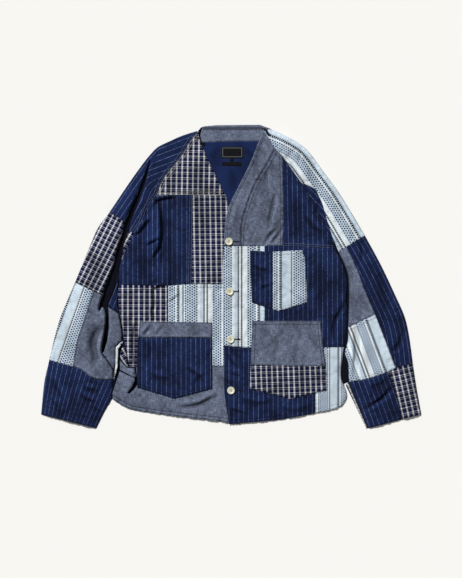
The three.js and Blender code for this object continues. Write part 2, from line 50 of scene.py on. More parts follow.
# ---------------- seam and edge lines
# The jacket is collarless, with raglan sleeves, buttoned and laid flat on its back. Its pieces of
# cloth meet along these lines, in millimetres: each is one stretch of seam, fold or edge, from neck
# to hem or from the wearer's right (-X) to left, with +Y towards the neck.
line = {
    # wearer's right front
    "right_neckline": [(-82, 353), (-77, 334), (-64, 302), (-47, 264), (-29, 229), (-14, 199)],
    "right_edge_upper": [(-14, 199), (-6, 177), (11, 134), (21, 78), (21, -18)],
    "right_edge_middle": [(21, -18), (21, -219)],
    "right_edge_lower": [(21, -219), (21, -361)],
    "right_raglan_upper": [(-82, 353), (-97, 337), (-124, 293), (-166, 240), (-184, 198)],
    "right_raglan_middle": [(-184, 198), (-200, 178), (-209, 159), (-222, 128), (-238, 106)],
    "right_raglan_lower": [(-238, 106), (-269, 40)],
    "right_side_upper": [(-269, 40), (-274, 22), (-275, -20)],
    "right_side_lower": [(-275, -20), (-278, -37), (-277, -62), (-274, -90), (-266, -127), (-264, -152),
        (-259, -171), (-253, -202), (-249, -221)],
    "yoke_seam": [(-184, 198), (-94, 200)],
    "yoke_seam_centre": [(-94, 200), (-14, 199)],
    "centre_seam": [(-94, 200), (-98, -18)],
    "waist_seam_side": [(-275, -20), (-167, -22), (-155, -22)],
    "waist_seam_middle": [(-155, -22), (-98, -18)],
    "waist_seam_centre": [(-98, -18), (21, -18)],
    "hip_seam": [(-155, -22), (-155, -219)],
    "right_hem_seam_side": [(-249, -221), (-234, -221)],
    "right_hem_seam_middle": [(-234, -221), (-155, -219)],
    "right_hem_seam_centre": [(-155, -219), (21, -219)],
    "right_hem": [(-291, -299), (-278, -309), (-247, -324), (-206, -332), (-122, -343), (-44, -352),
        (21, -361)],
    # wearer's right sleeve
    "right_shoulder": [(-84, 357), (-119, 346), (-151, 332), (-181, 317), (-198, 300), (-212, 283),
        (-244, 239), (-298, 159)],
    "right_elbow": [(-298, 159), (-327, 119), (-343, 83), (-383, -14)],
    "right_forearm": [(-383, -14), (-422, -109), (-446, -204)],
    "right_cuff_outer": [(-446, -204), (-458, -258), (-466, -337)],
    "right_cuff_hem": [(-466, -337), (-331, -371)],
    "right_cuff_inner": [(-290, -252), (-292, -284), (-293, -299), (-311, -330), (-331, -371)],
    "fold_outer_upper": [(-198, 286), (-208, 259), (-217, 234), (-227, 209), (-238, 184), (-251, 155),
        (-259, 132)],
    "fold_outer_lower": [(-259, 132), (-274, 84), (-283, 53), (-290, 25), (-300, -2), (-310, -29),
        (-314, -45)],
    "fold_inner_upper": [(-198, 286), (-204, 257), (-210, 232), (-220, 203), (-232, 169), (-245, 137),
        (-251, 113)],
    "fold_inner_lower": [(-251, 113), (-262, 83), (-269, 40)],
    "right_upper_arm_seam": [(-298, 159), (-259, 132)],
    "right_upper_arm_seam_inner": [(-251, 113), (-238, 106)],
    "right_elbow_seam": [(-383, -14), (-337, -36)],
    "right_elbow_seam_inner": [(-337, -36), (-314, -45)],
    "right_forearm_seam": [(-337, -36), (-356, -96), (-376, -158), (-387, -220)],
    "right_inner_arm": [(-314, -45), (-321, -64), (-323, -84), (-317, -74), (-311, -77), (-306, -96),
        (-309, -127), (-314, -158), (-316, -185), (-302, -206), (-290, -227), (-290, -252)],
    "right_cuff_seam_outer": [(-446, -204), (-387, -220)],
    "right_cuff_seam_inner": [(-387, -220), (-366, -228), (-347, -243), (-325, -251), (-290, -252)],
    "right_underarm": [(-269, 40), (-276, 10), (-286, -32), (-302, -74), (-310, -120), (-317, -186),
        (-289, -230), (-288, -252), (-291, -299)],
    # wearer's left front
    "lap_neck": [(81, 356), (68, 334), (50, 287), (16, 218), (-6, 173), (-13, 147), (-16, 122), (-18, 75)],
    "lap_middle": [(-18, 75), (-21, 17), (-20, -57), (-19, -169)],
    "lap_lower": [(-19, -169), (-17, -283), (-12, -321), (-6, -361)],
    "band_seam": [(106, 313), (91, 284), (63, 237), (47, 203), (34, 165), (26, 137), (23, 103), (23, 75)],
    "left_raglan_band": [(81, 356), (87, 345), (106, 313)],
    "left_raglan_chambray": [(106, 313), (125, 294)],
    "left_raglan_twill": [(125, 294), (172, 228)],
    "left_raglan_lower": [(172, 228), (190, 198), (212, 159), (237, 110), (253, 69)],
    "chest_seam": [(125, 294), (127, 240), (128, 178), (127, 75)],
    "bust_seam_band": [(-18, 75), (23, 75)],
    "bust_seam_placket": [(23, 75), (82, 75)],
    "bust_seam_chest": [(82, 75), (127, 75)],
    "bust_seam_side": [(127, 75), (253, 69)],
    "placket_seam": [(82, 75), (82, -174)],
    "left_hem_seam_placket": [(-19, -169), (48, -174), (82, -174)],
    "left_hem_seam_middle": [(82, -174), (204, -174)],
    "left_hem_seam_side": [(204, -174), (276, -172)],
    "left_hem_panel_seam": [(204, -174), (206, -334)],
    "left_side_upper": [(253, 69), (262, 51), (273, 29), (281, 7), (284, -18), (281, -52), (283, -74),
        (283, -108), (280, -146), (276, -172)],
    "left_side_lower": [(276, -172), (271, -209), (268, -240), (272, -258), (281, -279), (282, -299),
        (273, -314)],
    "left_hem_centre": [(-6, -361), (41, -357), (109, -351), (159, -343), (206, -334)],
    "left_hem_side": [(206, -334), (250, -324), (273, -314)],
    # wearer's left sleeve
    "left_shoulder": [(81, 356), (83, 361), (100, 359), (136, 343), (172, 322), (190, 305), (222, 262),
        (265, 203), (327, 101)],
    "left_elbow": [(327, 101), (366, 29), (400, -43), (424, -98), (435, -146), (444, -211)],
    "left_cuff_outer": [(444, -211), (453, -271), (465, -337)],
    "left_cuff_hem_outer": [(418, -349), (465, -337)],
    "left_cuff_hem_inner": [(336, -371), (418, -349)],
    "left_front_fold": [(172, 228), (204, 215), (214, 197), (223, 176), (233, 141), (246, 100)],
    "left_front_fold_end": [(246, 100), (262, 62)],
    "left_upper_arm_seam_inner": [(262, 62), (281, 73)],
    "left_upper_arm_seam_outer": [(281, 73), (327, 101)],
    "left_arm_seam_upper": [(281, 73), (305, 22), (325, -30), (351, -92)],
    "left_arm_seam_lower": [(351, -92), (374, -149), (402, -222)],
    "left_forearm_seam": [(286, -124), (325, -104), (351, -92)],
    "left_inner_arm_upper": [(262, 62), (277, 30), (286, 4), (288, -33), (288, -64), (286, -124)],
    "left_inner_arm_lower": [(286, -124), (285, -158), (278, -188), (285, -209), (288, -257)],
    "left_cuff_seam_inner": [(288, -257), (331, -250), (382, -233)],
    "left_cuff_seam_outer": [(382, -233), (402, -222)],
    "left_cuff_seam_end": [(402, -222), (444, -211)],
    "left_cuff_panel_seam": [(382, -233), (403, -290), (418, -349)],
    "left_cuff_inner": [(288, -257), (336, -371)],
    "left_underarm": [(253, 69), (262, 54), (275, 28), (283, 4), (285, -40), (284, -110), (279, -160),
        (274, -200), (273, -248), (276, -262)],
    "left_cuff_edge_seam": [(285, -258), (333, -371)],
    # back
    "neck_seam": [(-72, 329), (-2, 331), (91, 333)],
    "neckband_fold": [(-68, 361), (74, 361.5)],
    "neckband_rim_fold": [(-69, 362), (74, 362.5)],
    "neckband_end_right": [(-72, 329), (-76, 346), (-70, 367)],
    "neckband_end_left": [(74, 371), (75, 363), (80, 356), (85, 345), (91, 333)],
    "back_hem": [(276, -262), (279, -297), (271, -311), (206, -331), (109, -348), (21, -357), (-122, -340),
        (-206, -329), (-247, -320), (-276, -306), (-291, -299)],
}
CURVE_STEP = 7.0      # a curved line is drawn through its points at about this spacing


def curve_through(points):
    """The points of a smooth curve through the given ones, which stay on it."""
    if len(points) < 3:
        return [tuple(map(float, p)) for p in points]
    knots = [Vector(p) for p in points]
    ends = [2 * knots[0] - knots[1]] + knots + [2 * knots[-1] - knots[-2]]
    drawn = []
    for before, start, stop, after in zip(ends, ends[1:], ends[2:], ends[3:]):
        length = (stop - start).length
        lead_in = (stop - before) * length / max((stop - before).length, 1e-6)
        lead_out = (after - start) * length / max((after - start).length, 1e-6)
        count = max(1, round(length / CURVE_STEP))
        for k in range(count):
            t = k / count
            drawn.append(tuple((2 * t**3 - 3 * t**2 + 1) * start + (t**3 - 2 * t**2 + t) * lead_in
                               + (3 * t**2 - 2 * t**3) * stop + (t**3 - t**2) * lead_out))
    return drawn + [tuple(knots[-1])]


def find_line(name, side):
    """A line by its name, which may leave out the side of the jacket that its piece is on."""
    return line[name] if name in line else line[f"{side}_{name}"]


def outline_of(names, side):
    """One closed outline from corners and lines, end to end. A name that starts with - runs back."""
    points = []
    for item in [names] if isinstance(names, str) else names:
        if isinstance(item, tuple):
            points.append(tuple(map(float, item)))
            continue
        for name in item.split():
            stretch = curve_through(find_line(name.lstrip("-"), side))
            points += stretch[::-1] if name[0] == "-" else stretch
    return [p for p, before in zip(points, points[-1:] + points[:-1]) if math.dist(p, before) > 0.3]


# ---------------- how the cloth lies
# The upper layer is one soft surface: the sleeves hold air, the fronts a little, and the cloth
# comes down at every fold and edge. Creases and fine puckers are pressed into it.
CLOTH = 1.2           # thickness kept for each layer of cloth
LAYER = 1.5           # how far one layer lies above the next
BODY_LOFT = 6.0       # air under the fronts
SLEEVE_LOFT = 14.0    # air inside the sleeves
HIGHEST = 20.0        # no cloth stands higher than this off the layer under it
BODY_HALF_WIDTH = 180.0   # where the fronts begin to rise into the sleeves
SLEEVE_REACH = 330.0      # where the sleeves have their full air
EDGE_ROLL = 24.0      # how far in from an edge the cloth takes to rise
CREASE_DEPTH = 2.3    # how deep the creases below are pressed, times their own depth
LAP_FROM = 40.0       # where the left front begins to come down from the lap
LAP_TO = 150.0        # where it is down beside the sleeve
# Soft waves: size, stretch down the cloth, height, seed. Fine wrinkles: size, depth, seed.
AIR_WAVE = (80, 1.5, 4.0, 3.1)
WAVES = ((32, 1.6, 2.4, 7.7), (13, 1.4, 0.9, 12.3))
WRINKLES = ((55, 1.5, 21.4), (30, 1.0, 33.9), (16, 0.8, 45.1))

# Lines along which the upper layer comes down: the line, the share of its height lost, the reach.
SLEEVE_FOLDS = ["right_shoulder", "right_elbow", "right_forearm", "right_cuff_outer",
                "right_cuff_inner", "left_shoulder", "left_elbow", "left_cuff_outer",
                "left_cuff_inner"]
SIDE_EDGES = ["right_side_upper", "right_side_lower", "left_side_upper", "left_side_lower",
              "fold_inner_lower", "left_inner_arm_upper", "left_inner_arm_lower"]
HEMS = ["right_hem", "left_hem_centre", "left_hem_side"]
CUFF_HEMS = ["right_cuff_hem", "left_cuff_hem_inner", "left_cuff_hem_outer"]
edges = ([(name, 0.95, EDGE_ROLL) for name in SLEEVE_FOLDS]
         + [(name, 0.55, 14.0) for name in SIDE_EDGES]
         + [(name, 0.80, EDGE_ROLL) for name in HEMS]
         + [(name, 0.70, EDGE_ROLL) for name in CUFF_HEMS]
         + [(name, 0.50, EDGE_ROLL) for name in ("right_neckline", "lap_neck")])

# Creases: the points that each runs through, its half width, its depth (ridges are positive), and
# the height of the roll of cloth beside it, on its left (+) or right (-) as it runs.
creases = [
    # the large folds
    ([(-188, 165), (-187, 100), (-192, 60)], 14, 4, 0),
    ([(-319, -124), (-334, -146), (-336, -171), (-331, -196), (-339, -209)], 9, -6, 2),
    ([(-306, -130), (-317, -165), (-316, -200)], 10, 4, 0),
    ([(-232, 232), (-262, 175), (-300, 90)], 16, 4, 0),
    ([(172, 303), (197, 272), (201, 247), (209, 215)], 9, -4, 2),
    ([(303, -127), (306, -165), (304, -209), (301, -240)], 6, -8, 2.6),
    # right front
    ([(-187, 191), (-174, 170), (-169, 130), (-171, 90), (-180, 62), (-190, 48)], 3.4, -7, -3.2),
    ([(-172, 92), (-169, 60), (-171, 30)], 3.4, -2.6, -1.0),
    ([(-190, 165), (-183, 182), (-163, 190), (-132, 193)], 3.6, -3.2, 1.6),
    ([(-236, 100), (-221, 112), (-209, 128), (-197, 140)], 3.4, -4.2, 1.8),
    ([(-208, 76), (-191, 84), (-172, 92)], 4, -3.4, 1.6),
    ([(-150, 150), (-146, 100), (-149, 20)], 9, -1.2, 0),
    ([(-215, 60), (-212, 20), (-216, -10)], 10, -1.4, 0),
    ([(-192, -33), (-189, -56), (-187, -66), (-194, -88), (-188, -104)], 3.2, -6, 2.6),
    ([(-194, -34), (-182, -27), (-166, -24)], 3, -4.4, 1.4),
    ([(-152, -64), (-129, -45)], 3, -1.6, 0.8),
    ([(-131, -25), (-127, -46), (-128, -70)], 2.6, -2.0, 1.0),
    ([(-43, -30), (-39, -68)], 4, -1.6, 0.8),
    ([(-219, -148), (-194, -117)], 3.4, -1.8, 0.9),
    ([(-186, -145), (-168, -120)], 3.4, -1.6, 0.8),
    ([(-130, -319), (-88, -315), (-59, -303), (-36, -290)], 4.5, -3.0, 1.6),
    ([(-232, -108), (-238, -130), (-240, -165), (-237, -202), (-234, -244)], 3.4, -4.0, -2.0),
    ([(-212, -160), (-200, -176), (-204, -205)], 6, -1.2, 0),
    ([(-92, -262), (-76, -246), (-60, -238)], 5, -1.6, 0.8),
    # right sleeve
    ([(-366, -288), (-356, -299), (-332, -308)], 4, -3.4, 1.8),
    ([(-360, -272), (-323, -285)], 4.5, -2.4, 1.2),
    ([(-392, -250), (-386, -285), (-392, -330)], 9, -1.2, 0),
    ([(-352, 60), (-330, 20), (-326, -20)], 12, -1.6, 0),
    ([(-432, -262), (-414, -296)], 5, -2.0, 1.0),
    ([(-440, -300), (-420, -322)], 5, -1.8, 0.9),
    ([(-340, -318), (-318, -334)], 4, -2.0, 1.0),
    # right pocket
    ([(-110, -222), (-84, -240), (-62, -262)], 4, -1.8, 0.8),
    ([(-200, -236), (-176, -250), (-150, -252)], 5, -1.5, 0.7),
    # left front
    ([(107, 205), (101, 172), (90, 122)], 4, -2.6, 1.4),
    ([(113, 118), (93, 100), (79, 77)], 3.6, -2.6, 1.3),
    ([(127, 124), (99, 80)], 3.6, -2.2, 1.1),
    ([(88, 262), (83, 226)], 5, -1.6, 0.6),
    ([(60, 190), (48, 150)], 6, -1.0, 0),
    ([(277, -64), (256, -102), (249, -130), (251, -156)], 4, -3.6, 1.8),
    ([(70, -28), (98, -20)], 3.2, -1.6, 0.8),
    ([(160, 190), (165, 130), (160, 90)], 10, -1.2, 0),
    ([(215, 40), (222, -20), (214, -80)], 12, -1.6, 0),
    ([(-4, -324), (16, -330), (39, -338)], 3.6, -2.2, 1.0),
    ([(120, -140), (110, -160), (118, -190)], 8, -0.9, 0),
    ([(-10, -190), (6, -214), (20, -224)], 4, -1.8, 0.8),
    ([(-2, -236), (20, -244)], 4, -1.6, 0.8),
    ([(24, -300), (60, -312), (96, -308)], 5, -1.8, 0.9),
    ([(120, -322), (160, -330), (196, -318)], 5, -1.6, 0.8),
    ([(52, 30), (70, 16), (92, 14)], 4, -1.6, 0.8),
    ([(180, 150), (200, 120), (226, 104)], 5, -2.0, 1.0),
    # left sleeve
    ([(169, 304), (165, 279)], 3.4, -2.0, 1.0),
    ([(316, 90), (318, 53), (314, 33)], 3.4, -2.2, 1.1),
    ([(417, -138), (409, -165), (390, -185)], 4.5, -3.0, 1.5),
    ([(394, -268), (369, -296), (344, -313), (327, -323)], 4, -4.2, 2.2),
    ([(384, -250), (360, -268), (338, -274)], 8, -2.0, 0),
    ([(352, 30), (366, -20), (372, -70)], 10, -1.6, 0),
]

back_creases = [([(-55, 291), (-31, 316)], 4, -2.6, 1.2), ([(36, 313), (53, 294)], 4, -2.6, 1.2),
                ([(-2, 262), (6, 235), (2, 215)], 6, -1.6, 0.6)]


def smooth_between(value, low, high):
    t = np.clip((value - low) / (high - low), 0, 1)
    return t * t * (3 - 2 * t)


def near_path(path, x, y):
    """Distance to a path, the side of it (+1 on its left), and the length along it, in mm."""
    path = np.array(path, float)
    steps = np.diff(path, axis=0)
    lengths = np.hypot(steps[:, 0], steps[:, 1])
    distance = np.full(x.shape, 1e9)
    side = np.ones(x.shape)
    along = np.zeros(x.shape)
    reached = 0.0
    for (ax, ay), (dx, dy), length in zip(path, steps, lengths):
        t = np.clip(((x - ax) * dx + (y - ay) * dy) / (length * length), 0, 1)
        ex = x - ax - t * dx
        ey = y - ay - t * dy
        d = np.hypot(ex, ey)
        nearer = d < distance
        distance = np.where(nearer, d, distance)
        side = np.where(nearer, np.sign(dx * ey - dy * ex), side)
        along = np.where(nearer, reached + t * length, along)
        reached += length
    return distance, side, along, reached


def far_from(path, x, y, reach):
    """True where no point comes within reach of the path's own box."""
    px, py = np.array(path, float).T
    return (x.max() < px.min() - reach or x.min() > px.max() + reach
            or y.max() < py.min() - reach or y.min() > py.max() + reach)


def bumps(x, y, length, stretch, seed):
    """Smooth noise from -1 to 1, with features of a length across and longer down the cloth."""
    across = (x / length).tolist()
    down = (y / (length * stretch)).tolist()
    return np.array([noise.noise(Vector((u, v, seed))) for u, v in zip(across, down)])


def wave(x, y, length, stretch, height, seed):
    return height * bumps(x, y, length, stretch, seed)


def pressed(paths, x, y):
    """The height of creases at each point, with the roll of cloth beside each, fading at its ends."""
    total = np.zeros_like(x)
    for path, spread, height, roll in paths:
        if far_from(path, x, y, 5 * spread):
            continue
        distance, side, along, whole = near_path(curve_through(path), x, y)
        ends = np.clip(np.sin(np.pi * np.clip(along / whole, 0.02, 0.98)), 0, 1) ** 0.6
        fold = height * np.exp(-((distance / spread) ** 2))
        if roll:
            lean = np.sign(roll) * side * distance
            fold += abs(roll) * np.exp(-(((lean - 2.1 * spread) / (1.5 * spread)) ** 2))
        total += ends * fold
    return total


def relief(x, y):
    """How far the upper layer lies above the layers under it, and how much of that is creases."""
    air = BODY_LOFT + (SLEEVE_LOFT - BODY_LOFT) * smooth_between(abs(x), BODY_HALF_WIDTH, SLEEVE_REACH)
    loft = air.copy()
    for name, share, reach in edges:
        if not far_from(line[name], x, y, 5 * reach):
            loft *= 1 - share * np.exp(-near_path(line[name], x, y)[0] / reach)
    room = 0.25 + 0.75 * loft / air
    press = CREASE_DEPTH * room * pressed(creases, x, y)
    press += wave(x, y, *WAVES[0]) + wave(x, y, *WAVES[1])
    for size, depth, seed in WRINKLES:
        press -= depth * (1 - np.minimum(abs(bumps(x, y, size, 1.3, seed)) * 6, 1)) ** 2
    height = np.maximum(loft + wave(x, y, *AIR_WAVE) + press, 0)
    return HIGHEST * np.tanh(height / HIGHEST), press


# Layers of cloth up to the top of a piece, in each place.
def single(x):
    return np.ones_like(x)


def lapped(x):
    """The left front laps over the right front, and comes down beside it towards its side."""
    return 2 - smooth_between(x, LAP_FROM, LAP_TO)


def on_single(x):
    return 2.4 * np.ones_like(x)


def on_lapped(x):
    return lapped(x) + 1.4


# ---------------- cutting and sewing a piece
# Each piece is cut along its lines, laid on the surface above, pressed in at its seams and
# puckered by its stitches. It is given the thickness of shirt-weight cotton.
WALL = 0.8            # thickness of the cloth that shows
CELL = 2.5
SEAM_GROOVE = 0.6     # how far cloth is pulled in at a seam
SEAM_TURNING = 7.0    # width of the turnings inside a seam
PUCKER = 11.0         # distance from one pucker to the next along a seam
NARROWEST = 10.0      # no strip of cloth is cut narrower
TROUGH_PAINTED_SHADE = 0.62    # painted shade darkens the cloth's colour in a crease, and painted light makes it paler on a ridge
RIDGE_PAINTED_LIGHT = 0.22
PAINTED_SHADE_DEPTH = 2.2
HEM_HIGHLIGHT_AND_WEAR = 0.35       # how much paler the edge of a hem is made: painted highlight where the turned edge catches light, and rubbed wear
PUCKER_DEPTH = 1.7    # depth of the puckers along a seam, and of the gathers along a hem
GATHER_DEPTH = 1.3
TURNING_STEP = 0.5    # how far the turnings inside a seam lift it


def mesh_of(name, bm):
    mesh = bpy.data.meshes.new(name)
    bm.to_mesh(mesh)
    bm.free()
    return mesh


def placed(name, data):
    thing = bpy.data.objects.new(name, data)
    scene.collection.objects.link(thing)
    return thing


def finished(name, mesh, material):
    """A piece from a mesh, of one material, riding on the jacket."""
    mesh.polygons.foreach_set("use_smooth", [True] * len(mesh.polygons))
    mesh.materials.append(material)
    piece = placed(name, mesh)
    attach(piece, "root")
    return piece


def cut_cloth(name, outline, cell):
    """A flat piece of cloth of this outline, divided into cells."""
    bm = bmesh.new()
    bm.faces.new([bm.verts.new((x, y, 0)) for x, y in outline])
    bm.normal_update()
    bmesh.ops.reverse_faces(bm, faces=[f for f in bm.faces if f.normal.z < 0])
    for axis in (0, 1):
        places = [p[axis] for p in outline]
        across = Vector((axis == 0, axis == 1, 0))
        for k in range(math.ceil(min(places) / cell), math.floor(max(places) / cell) + 1):
            bmesh.ops.bisect_plane(bm, geom=bm.verts[:] + bm.edges[:] + bm.faces[:], dist=1e-3,
                                   plane_co=across * k * cell, plane_no=across)
    return mesh_of(name, bm)


def read_points(mesh):
    points = np.empty(len(mesh.vertices) * 3)
    mesh.vertices.foreach_get("co", points)
    return points.reshape(-1, 3)


def straight(tilt, through=(0, 0)):
    """Cloth cut on one grain: its warp leans to the right by tilt degrees."""
    c, s = math.cos(math.radians(tilt)), math.sin(math.radians(tilt))

    def grain(x, y):
        ax, ay = x - through[0], y - through[1]
        return ax * c - ay * s, ax * s + ay * c
    return grain


def beside(path, at, sense=1):
    """Cloth whose warp runs beside a path, at mm from it."""
    def grain(x, y):
        distance, side, along, _ = near_path(curve_through(path), x, y)
        return sense * (distance - at), along
    return grain


def fan(centre, radius):
    """Cloth whose warp spreads from a far centre."""
    def grain(x, y):
        ax, ay = x - centre[0], y - centre[1]
        return np.arctan2(ax, ay) * radius, np.hypot(ax, ay)
    return grain


cut_shapes = {}       # what each piece was cut to, for its stitching


def sew(node, names, grain, layers=single, slot=None, material=None, base=0.0, flat=False, free="",
        cell=CELL, rests_on=("back_body",), curl=()):
    """Makes the cloth of one node, whose name says what it is cut from. base is the height of a
    flat piece, free names its hems, and curl the edges that roll down to what is under them."""
    side = node.split("_")[0]
    slot = slot or next(kind for kind in cloths if kind in node)
    cut_shapes[node] = names
    outline = outline_of(names, side)
    mesh = cut_cloth(node + "_cloth", outline, cell)
    points = read_points(mesh)
    x, y = points[:, 0], points[:, 1]
    edge, _, along, _ = near_path(outline + outline[:1], x, y)
    if flat:
        press = (2.2 * bumps(x, y, 30, 1.6, 5.5) + pressed(back_creases, x, y)) * (base == 0)
        z = base + CLOTH + 0.4 * press
    else:
        loft, press = relief(x, y)
        z = layers(x) * LAYER + loft + CLOTH
    hem = np.full(x.shape, 1e9)
    for hemmed in [find_line(name, side) for name in free.split()] + [line[name] for name, _, _ in curl]:
        hem = np.minimum(hem, near_path(curve_through(hemmed), x, y)[0])
    near_hem = np.exp(-hem / 9)
    seam = np.exp(-((edge / 1.6) ** 2)) * (1 - near_hem)
    turning = smooth_between(edge, 1, 3) * (1 - smooth_between(edge, SEAM_TURNING - 1, SEAM_TURNING + 1.5))
    pull = np.exp(-edge / 10) * bumps(along, edge, PUCKER * 0.55, 6, 2.2)
    gathered = np.exp(-hem / 12) * bumps(along, hem, 4, 8, 9.1) if free else 0 * x
    if not flat:
        relieved = (GATHER_DEPTH * gathered + TURNING_STEP * turning + PUCKER_DEPTH * pull
                    - SEAM_GROOVE * seam)
        z += relieved
        press = press + 1.6 * relieved
    for name, width, low in curl:
        distance = near_path(curve_through(line[name]), x, y)[0]
        t = np.clip(distance / width, 0, 1)
        z = low + (z - low) * np.sqrt(1 - (1 - t) ** 2)
    floor = base + WALL + 0.1 if flat else (layers(x) - 1) * LAYER + WALL + 0.15
    z = np.maximum(z, floor)
    u, v = grain(x, y)
    points[:, 2] = z
    mesh.vertices.foreach_set("co", (points * MM).ravel())
    # Painted shade: the colour is darkened where the cloth is pressed into a crease, groove or pucker, and
    # painted light makes it paler on a ridge.
    fade = 1 + np.where(press < 0, TROUGH_PAINTED_SHADE, RIDGE_PAINTED_LIGHT) * np.tanh(press / PAINTED_SHADE_DEPTH)
    # Paler along the hems and rolled edges: painted highlight on the turned edge, and rubbed wear.
    if free:
        fade *= 1 + HEM_HIGHLIGHT_AND_WEAR * np.exp(-((hem / 2) ** 2))
    mesh.attributes.new("fade", "FLOAT", "POINT").data.foreach_set("value", fade)
    corners = np.empty(len(mesh.loops), int)
    mesh.loops.foreach_get("vertex_index", corners)
    layer = mesh.uv_layers.new(name="grain")
    layer.data.foreach_set("uv", (np.stack([u, v], 1)[corners] * MM).ravel())
    mesh.update()
    piece = finished(node + "_cloth", mesh, material or cloths[slot])
    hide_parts(node)
    wall = piece.modifiers.new("wall", "SOLIDIFY")
    wall.thickness = WALL * MM
    wall.offset = -1
    area = 0.5 * abs(sum(ax * by - bx * ay
                         for (ax, ay), (bx, by) in zip(outline, outline[1:] + outline[:1])))
    width, length = (max(np.ptp(w), NARROWEST) for w in (u, v))
    if area < 0.3 * width * length:
        width = max(area / (0.6 * length), NARROWEST)
    return piece


# ---------------- colours and nodes
def colour(text):
    """An sRGB hex colour as linear RGBA."""
    parts = [int(text[i:i + 2], 16) / 255 for i in (1, 3, 5)]
    return [c / 12.92 if c < 0.04045 else ((c + 0.055) / 1.055) ** 2.4 for c in parts] + [1.0]


def add(tree, kind, inputs=(), **settings):
    """Adds a node. Inputs are pairs of a socket's name or number and a value or another socket."""
    node = tree.nodes.new(kind)
    for key, value in settings.items():
        setattr(node, key, value)
    for key, value in inputs:
        if isinstance(value, bpy.types.NodeSocket):
            tree.links.new(value, node.inputs[key])
        else:
            node.inputs[key].default_value = value
    return node


def ramp(tree, value, stops, mode="CONSTANT"):
    """A colour for each stretch of a value from 0 to 1."""
    node = add(tree, "ShaderNodeValToRGB", [("Fac", value)])
    node.color_ramp.interpolation = mode
    elements = node.color_ramp.elements
    elements.remove(elements[1])
    elements[0].position, elements[0].color = stops[0]
    for place, rgba in stops[1:]:
        elements.new(place).color = rgba
    return node.outputs["Color"]


def cloth_material(name):
    """A new cotton material, its tree, its shader, and its place across and down in mm."""
    material = bpy.data.materials.new(name)
    material.use_nodes = True
    tree = material.node_tree
    shader = tree.nodes["Principled BSDF"]
    shader.inputs["Roughness"].default_value = 0.92
    shader.inputs["Specular IOR Level"].default_value = 0.12
    shader.inputs["Sheen Weight"].default_value = 0.03
    shader.inputs["Sheen Roughness"].default_value = 0.5
    uv = add(tree, "ShaderNodeUVMap", uv_map="grain")
    scaled = add(tree, "ShaderNodeVectorMath", [(0, uv.outputs["UV"]), (3, 1000.0)], operation="SCALE")
    split = add(tree, "ShaderNodeSeparateXYZ", [(0, scaled.outputs[0])])
    return material, tree, shader, scaled.outputs[0], split.outputs["X"], split.outputs["Y"]


def maths(tree, operation, a, b=0.0):
    return add(tree, "ShaderNodeMath", [(0, a), (1, b)], operation=operation).outputs[0]


def repeat(tree, value, period, shift=0.0):
    """A value that runs from 0 to 1 over each period, in mm."""
    return maths(tree, "FRACT", maths(tree, "ADD", maths(tree, "DIVIDE", value, period), shift))


def slub(tree, place, across, down):
    """Noise from 0 to 1 drawn out to a size across and down the cloth, in mm."""
    sized = add(tree, "ShaderNodeMapping", [("Vector", place), ("Scale", (1 / across, 1 / down, 1))])
    return add(tree, "ShaderNodeTexNoise", [("Vector", sized.outputs[0]), ("Scale", 1.0),
                                            ("Detail", 2.0)]).outputs["Fac"]


def mix(tree, share, first, second, blend="MIX"):
    return add(tree, "ShaderNodeMix", [(0, share), (6, first), (7, second)], data_type="RGBA",
               blend_type=blend).outputs[2]


WEAVE_RELIEF = 0.0006     # metres


def finish_cloth(tree, shader, tone, place, slubs, painted_shade_share=1.0):
    """Joins the colour to the shader, with light and dark threads, the relief of the weave, and
    a share of painted shade in creases and painted light on ridges and hem edges."""
    shade = maths(tree, "MULTIPLY_ADD", slubs, 0.7)
    shade.node.inputs[2].default_value = 0.65
    # The painted shade and light from the creases and ridges, taken at a share, multiply the colour.
    painted_shade_read = add(tree, "ShaderNodeAttribute", attribute_name="fade").outputs["Fac"]
    fade = maths(tree, "MULTIPLY_ADD", painted_shade_read, painted_shade_share)
    fade.node.inputs[2].default_value = 1 - painted_shade_share
    shade = maths(tree, "MULTIPLY", shade, fade)
    grey = add(tree, "ShaderNodeCombineColor", [(0, shade), (1, shade), (2, shade)])
    shaded = mix(tree, 1.0, tone, grey.outputs[0], "MULTIPLY")
    tree.links.new(shaded, shader.inputs["Base Color"])
    bump = add(tree, "ShaderNodeBump", [("Strength", 0.6), ("Distance", WEAVE_RELIEF), ("Height", slubs)])
    tree.links.new(bump.outputs[0], shader.inputs["Normal"])


# Indigo twill: a dense yarn-dyed cotton with a thin pale pinstripe, which reads as a deep, dull
# navy with broken lines. The stripe is 0.8 mm wide, 12 mm from the next.
STRIPE_PITCH = 12.0
STRIPE_WIDTH = 0.8
twill, tree, shader, place, u, v = cloth_material("indigo_pinstripe_twill_cotton")
stripe = maths(tree, "LESS_THAN", repeat(tree, u, STRIPE_PITCH, 0.5 * STRIPE_WIDTH / STRIPE_PITCH),
               STRIPE_WIDTH / STRIPE_PITCH)
broken = ramp(tree, slub(tree, place, 9, 5), [(0.0, colour("#505050")), (0.42, colour("#a0a0a0")),
                                              (0.6, colour("#f4f4f4"))],
              "LINEAR")
shown = maths(tree, "MULTIPLY", stripe, broken)
navy = mix(tree, slub(tree, place, 22, 60), colour("#0b1334"), colour("#192a54"))
finish_cloth(tree, shader, mix(tree, shown, navy, colour("#74819f")), place, slub(tree, place, 1.6, 7))

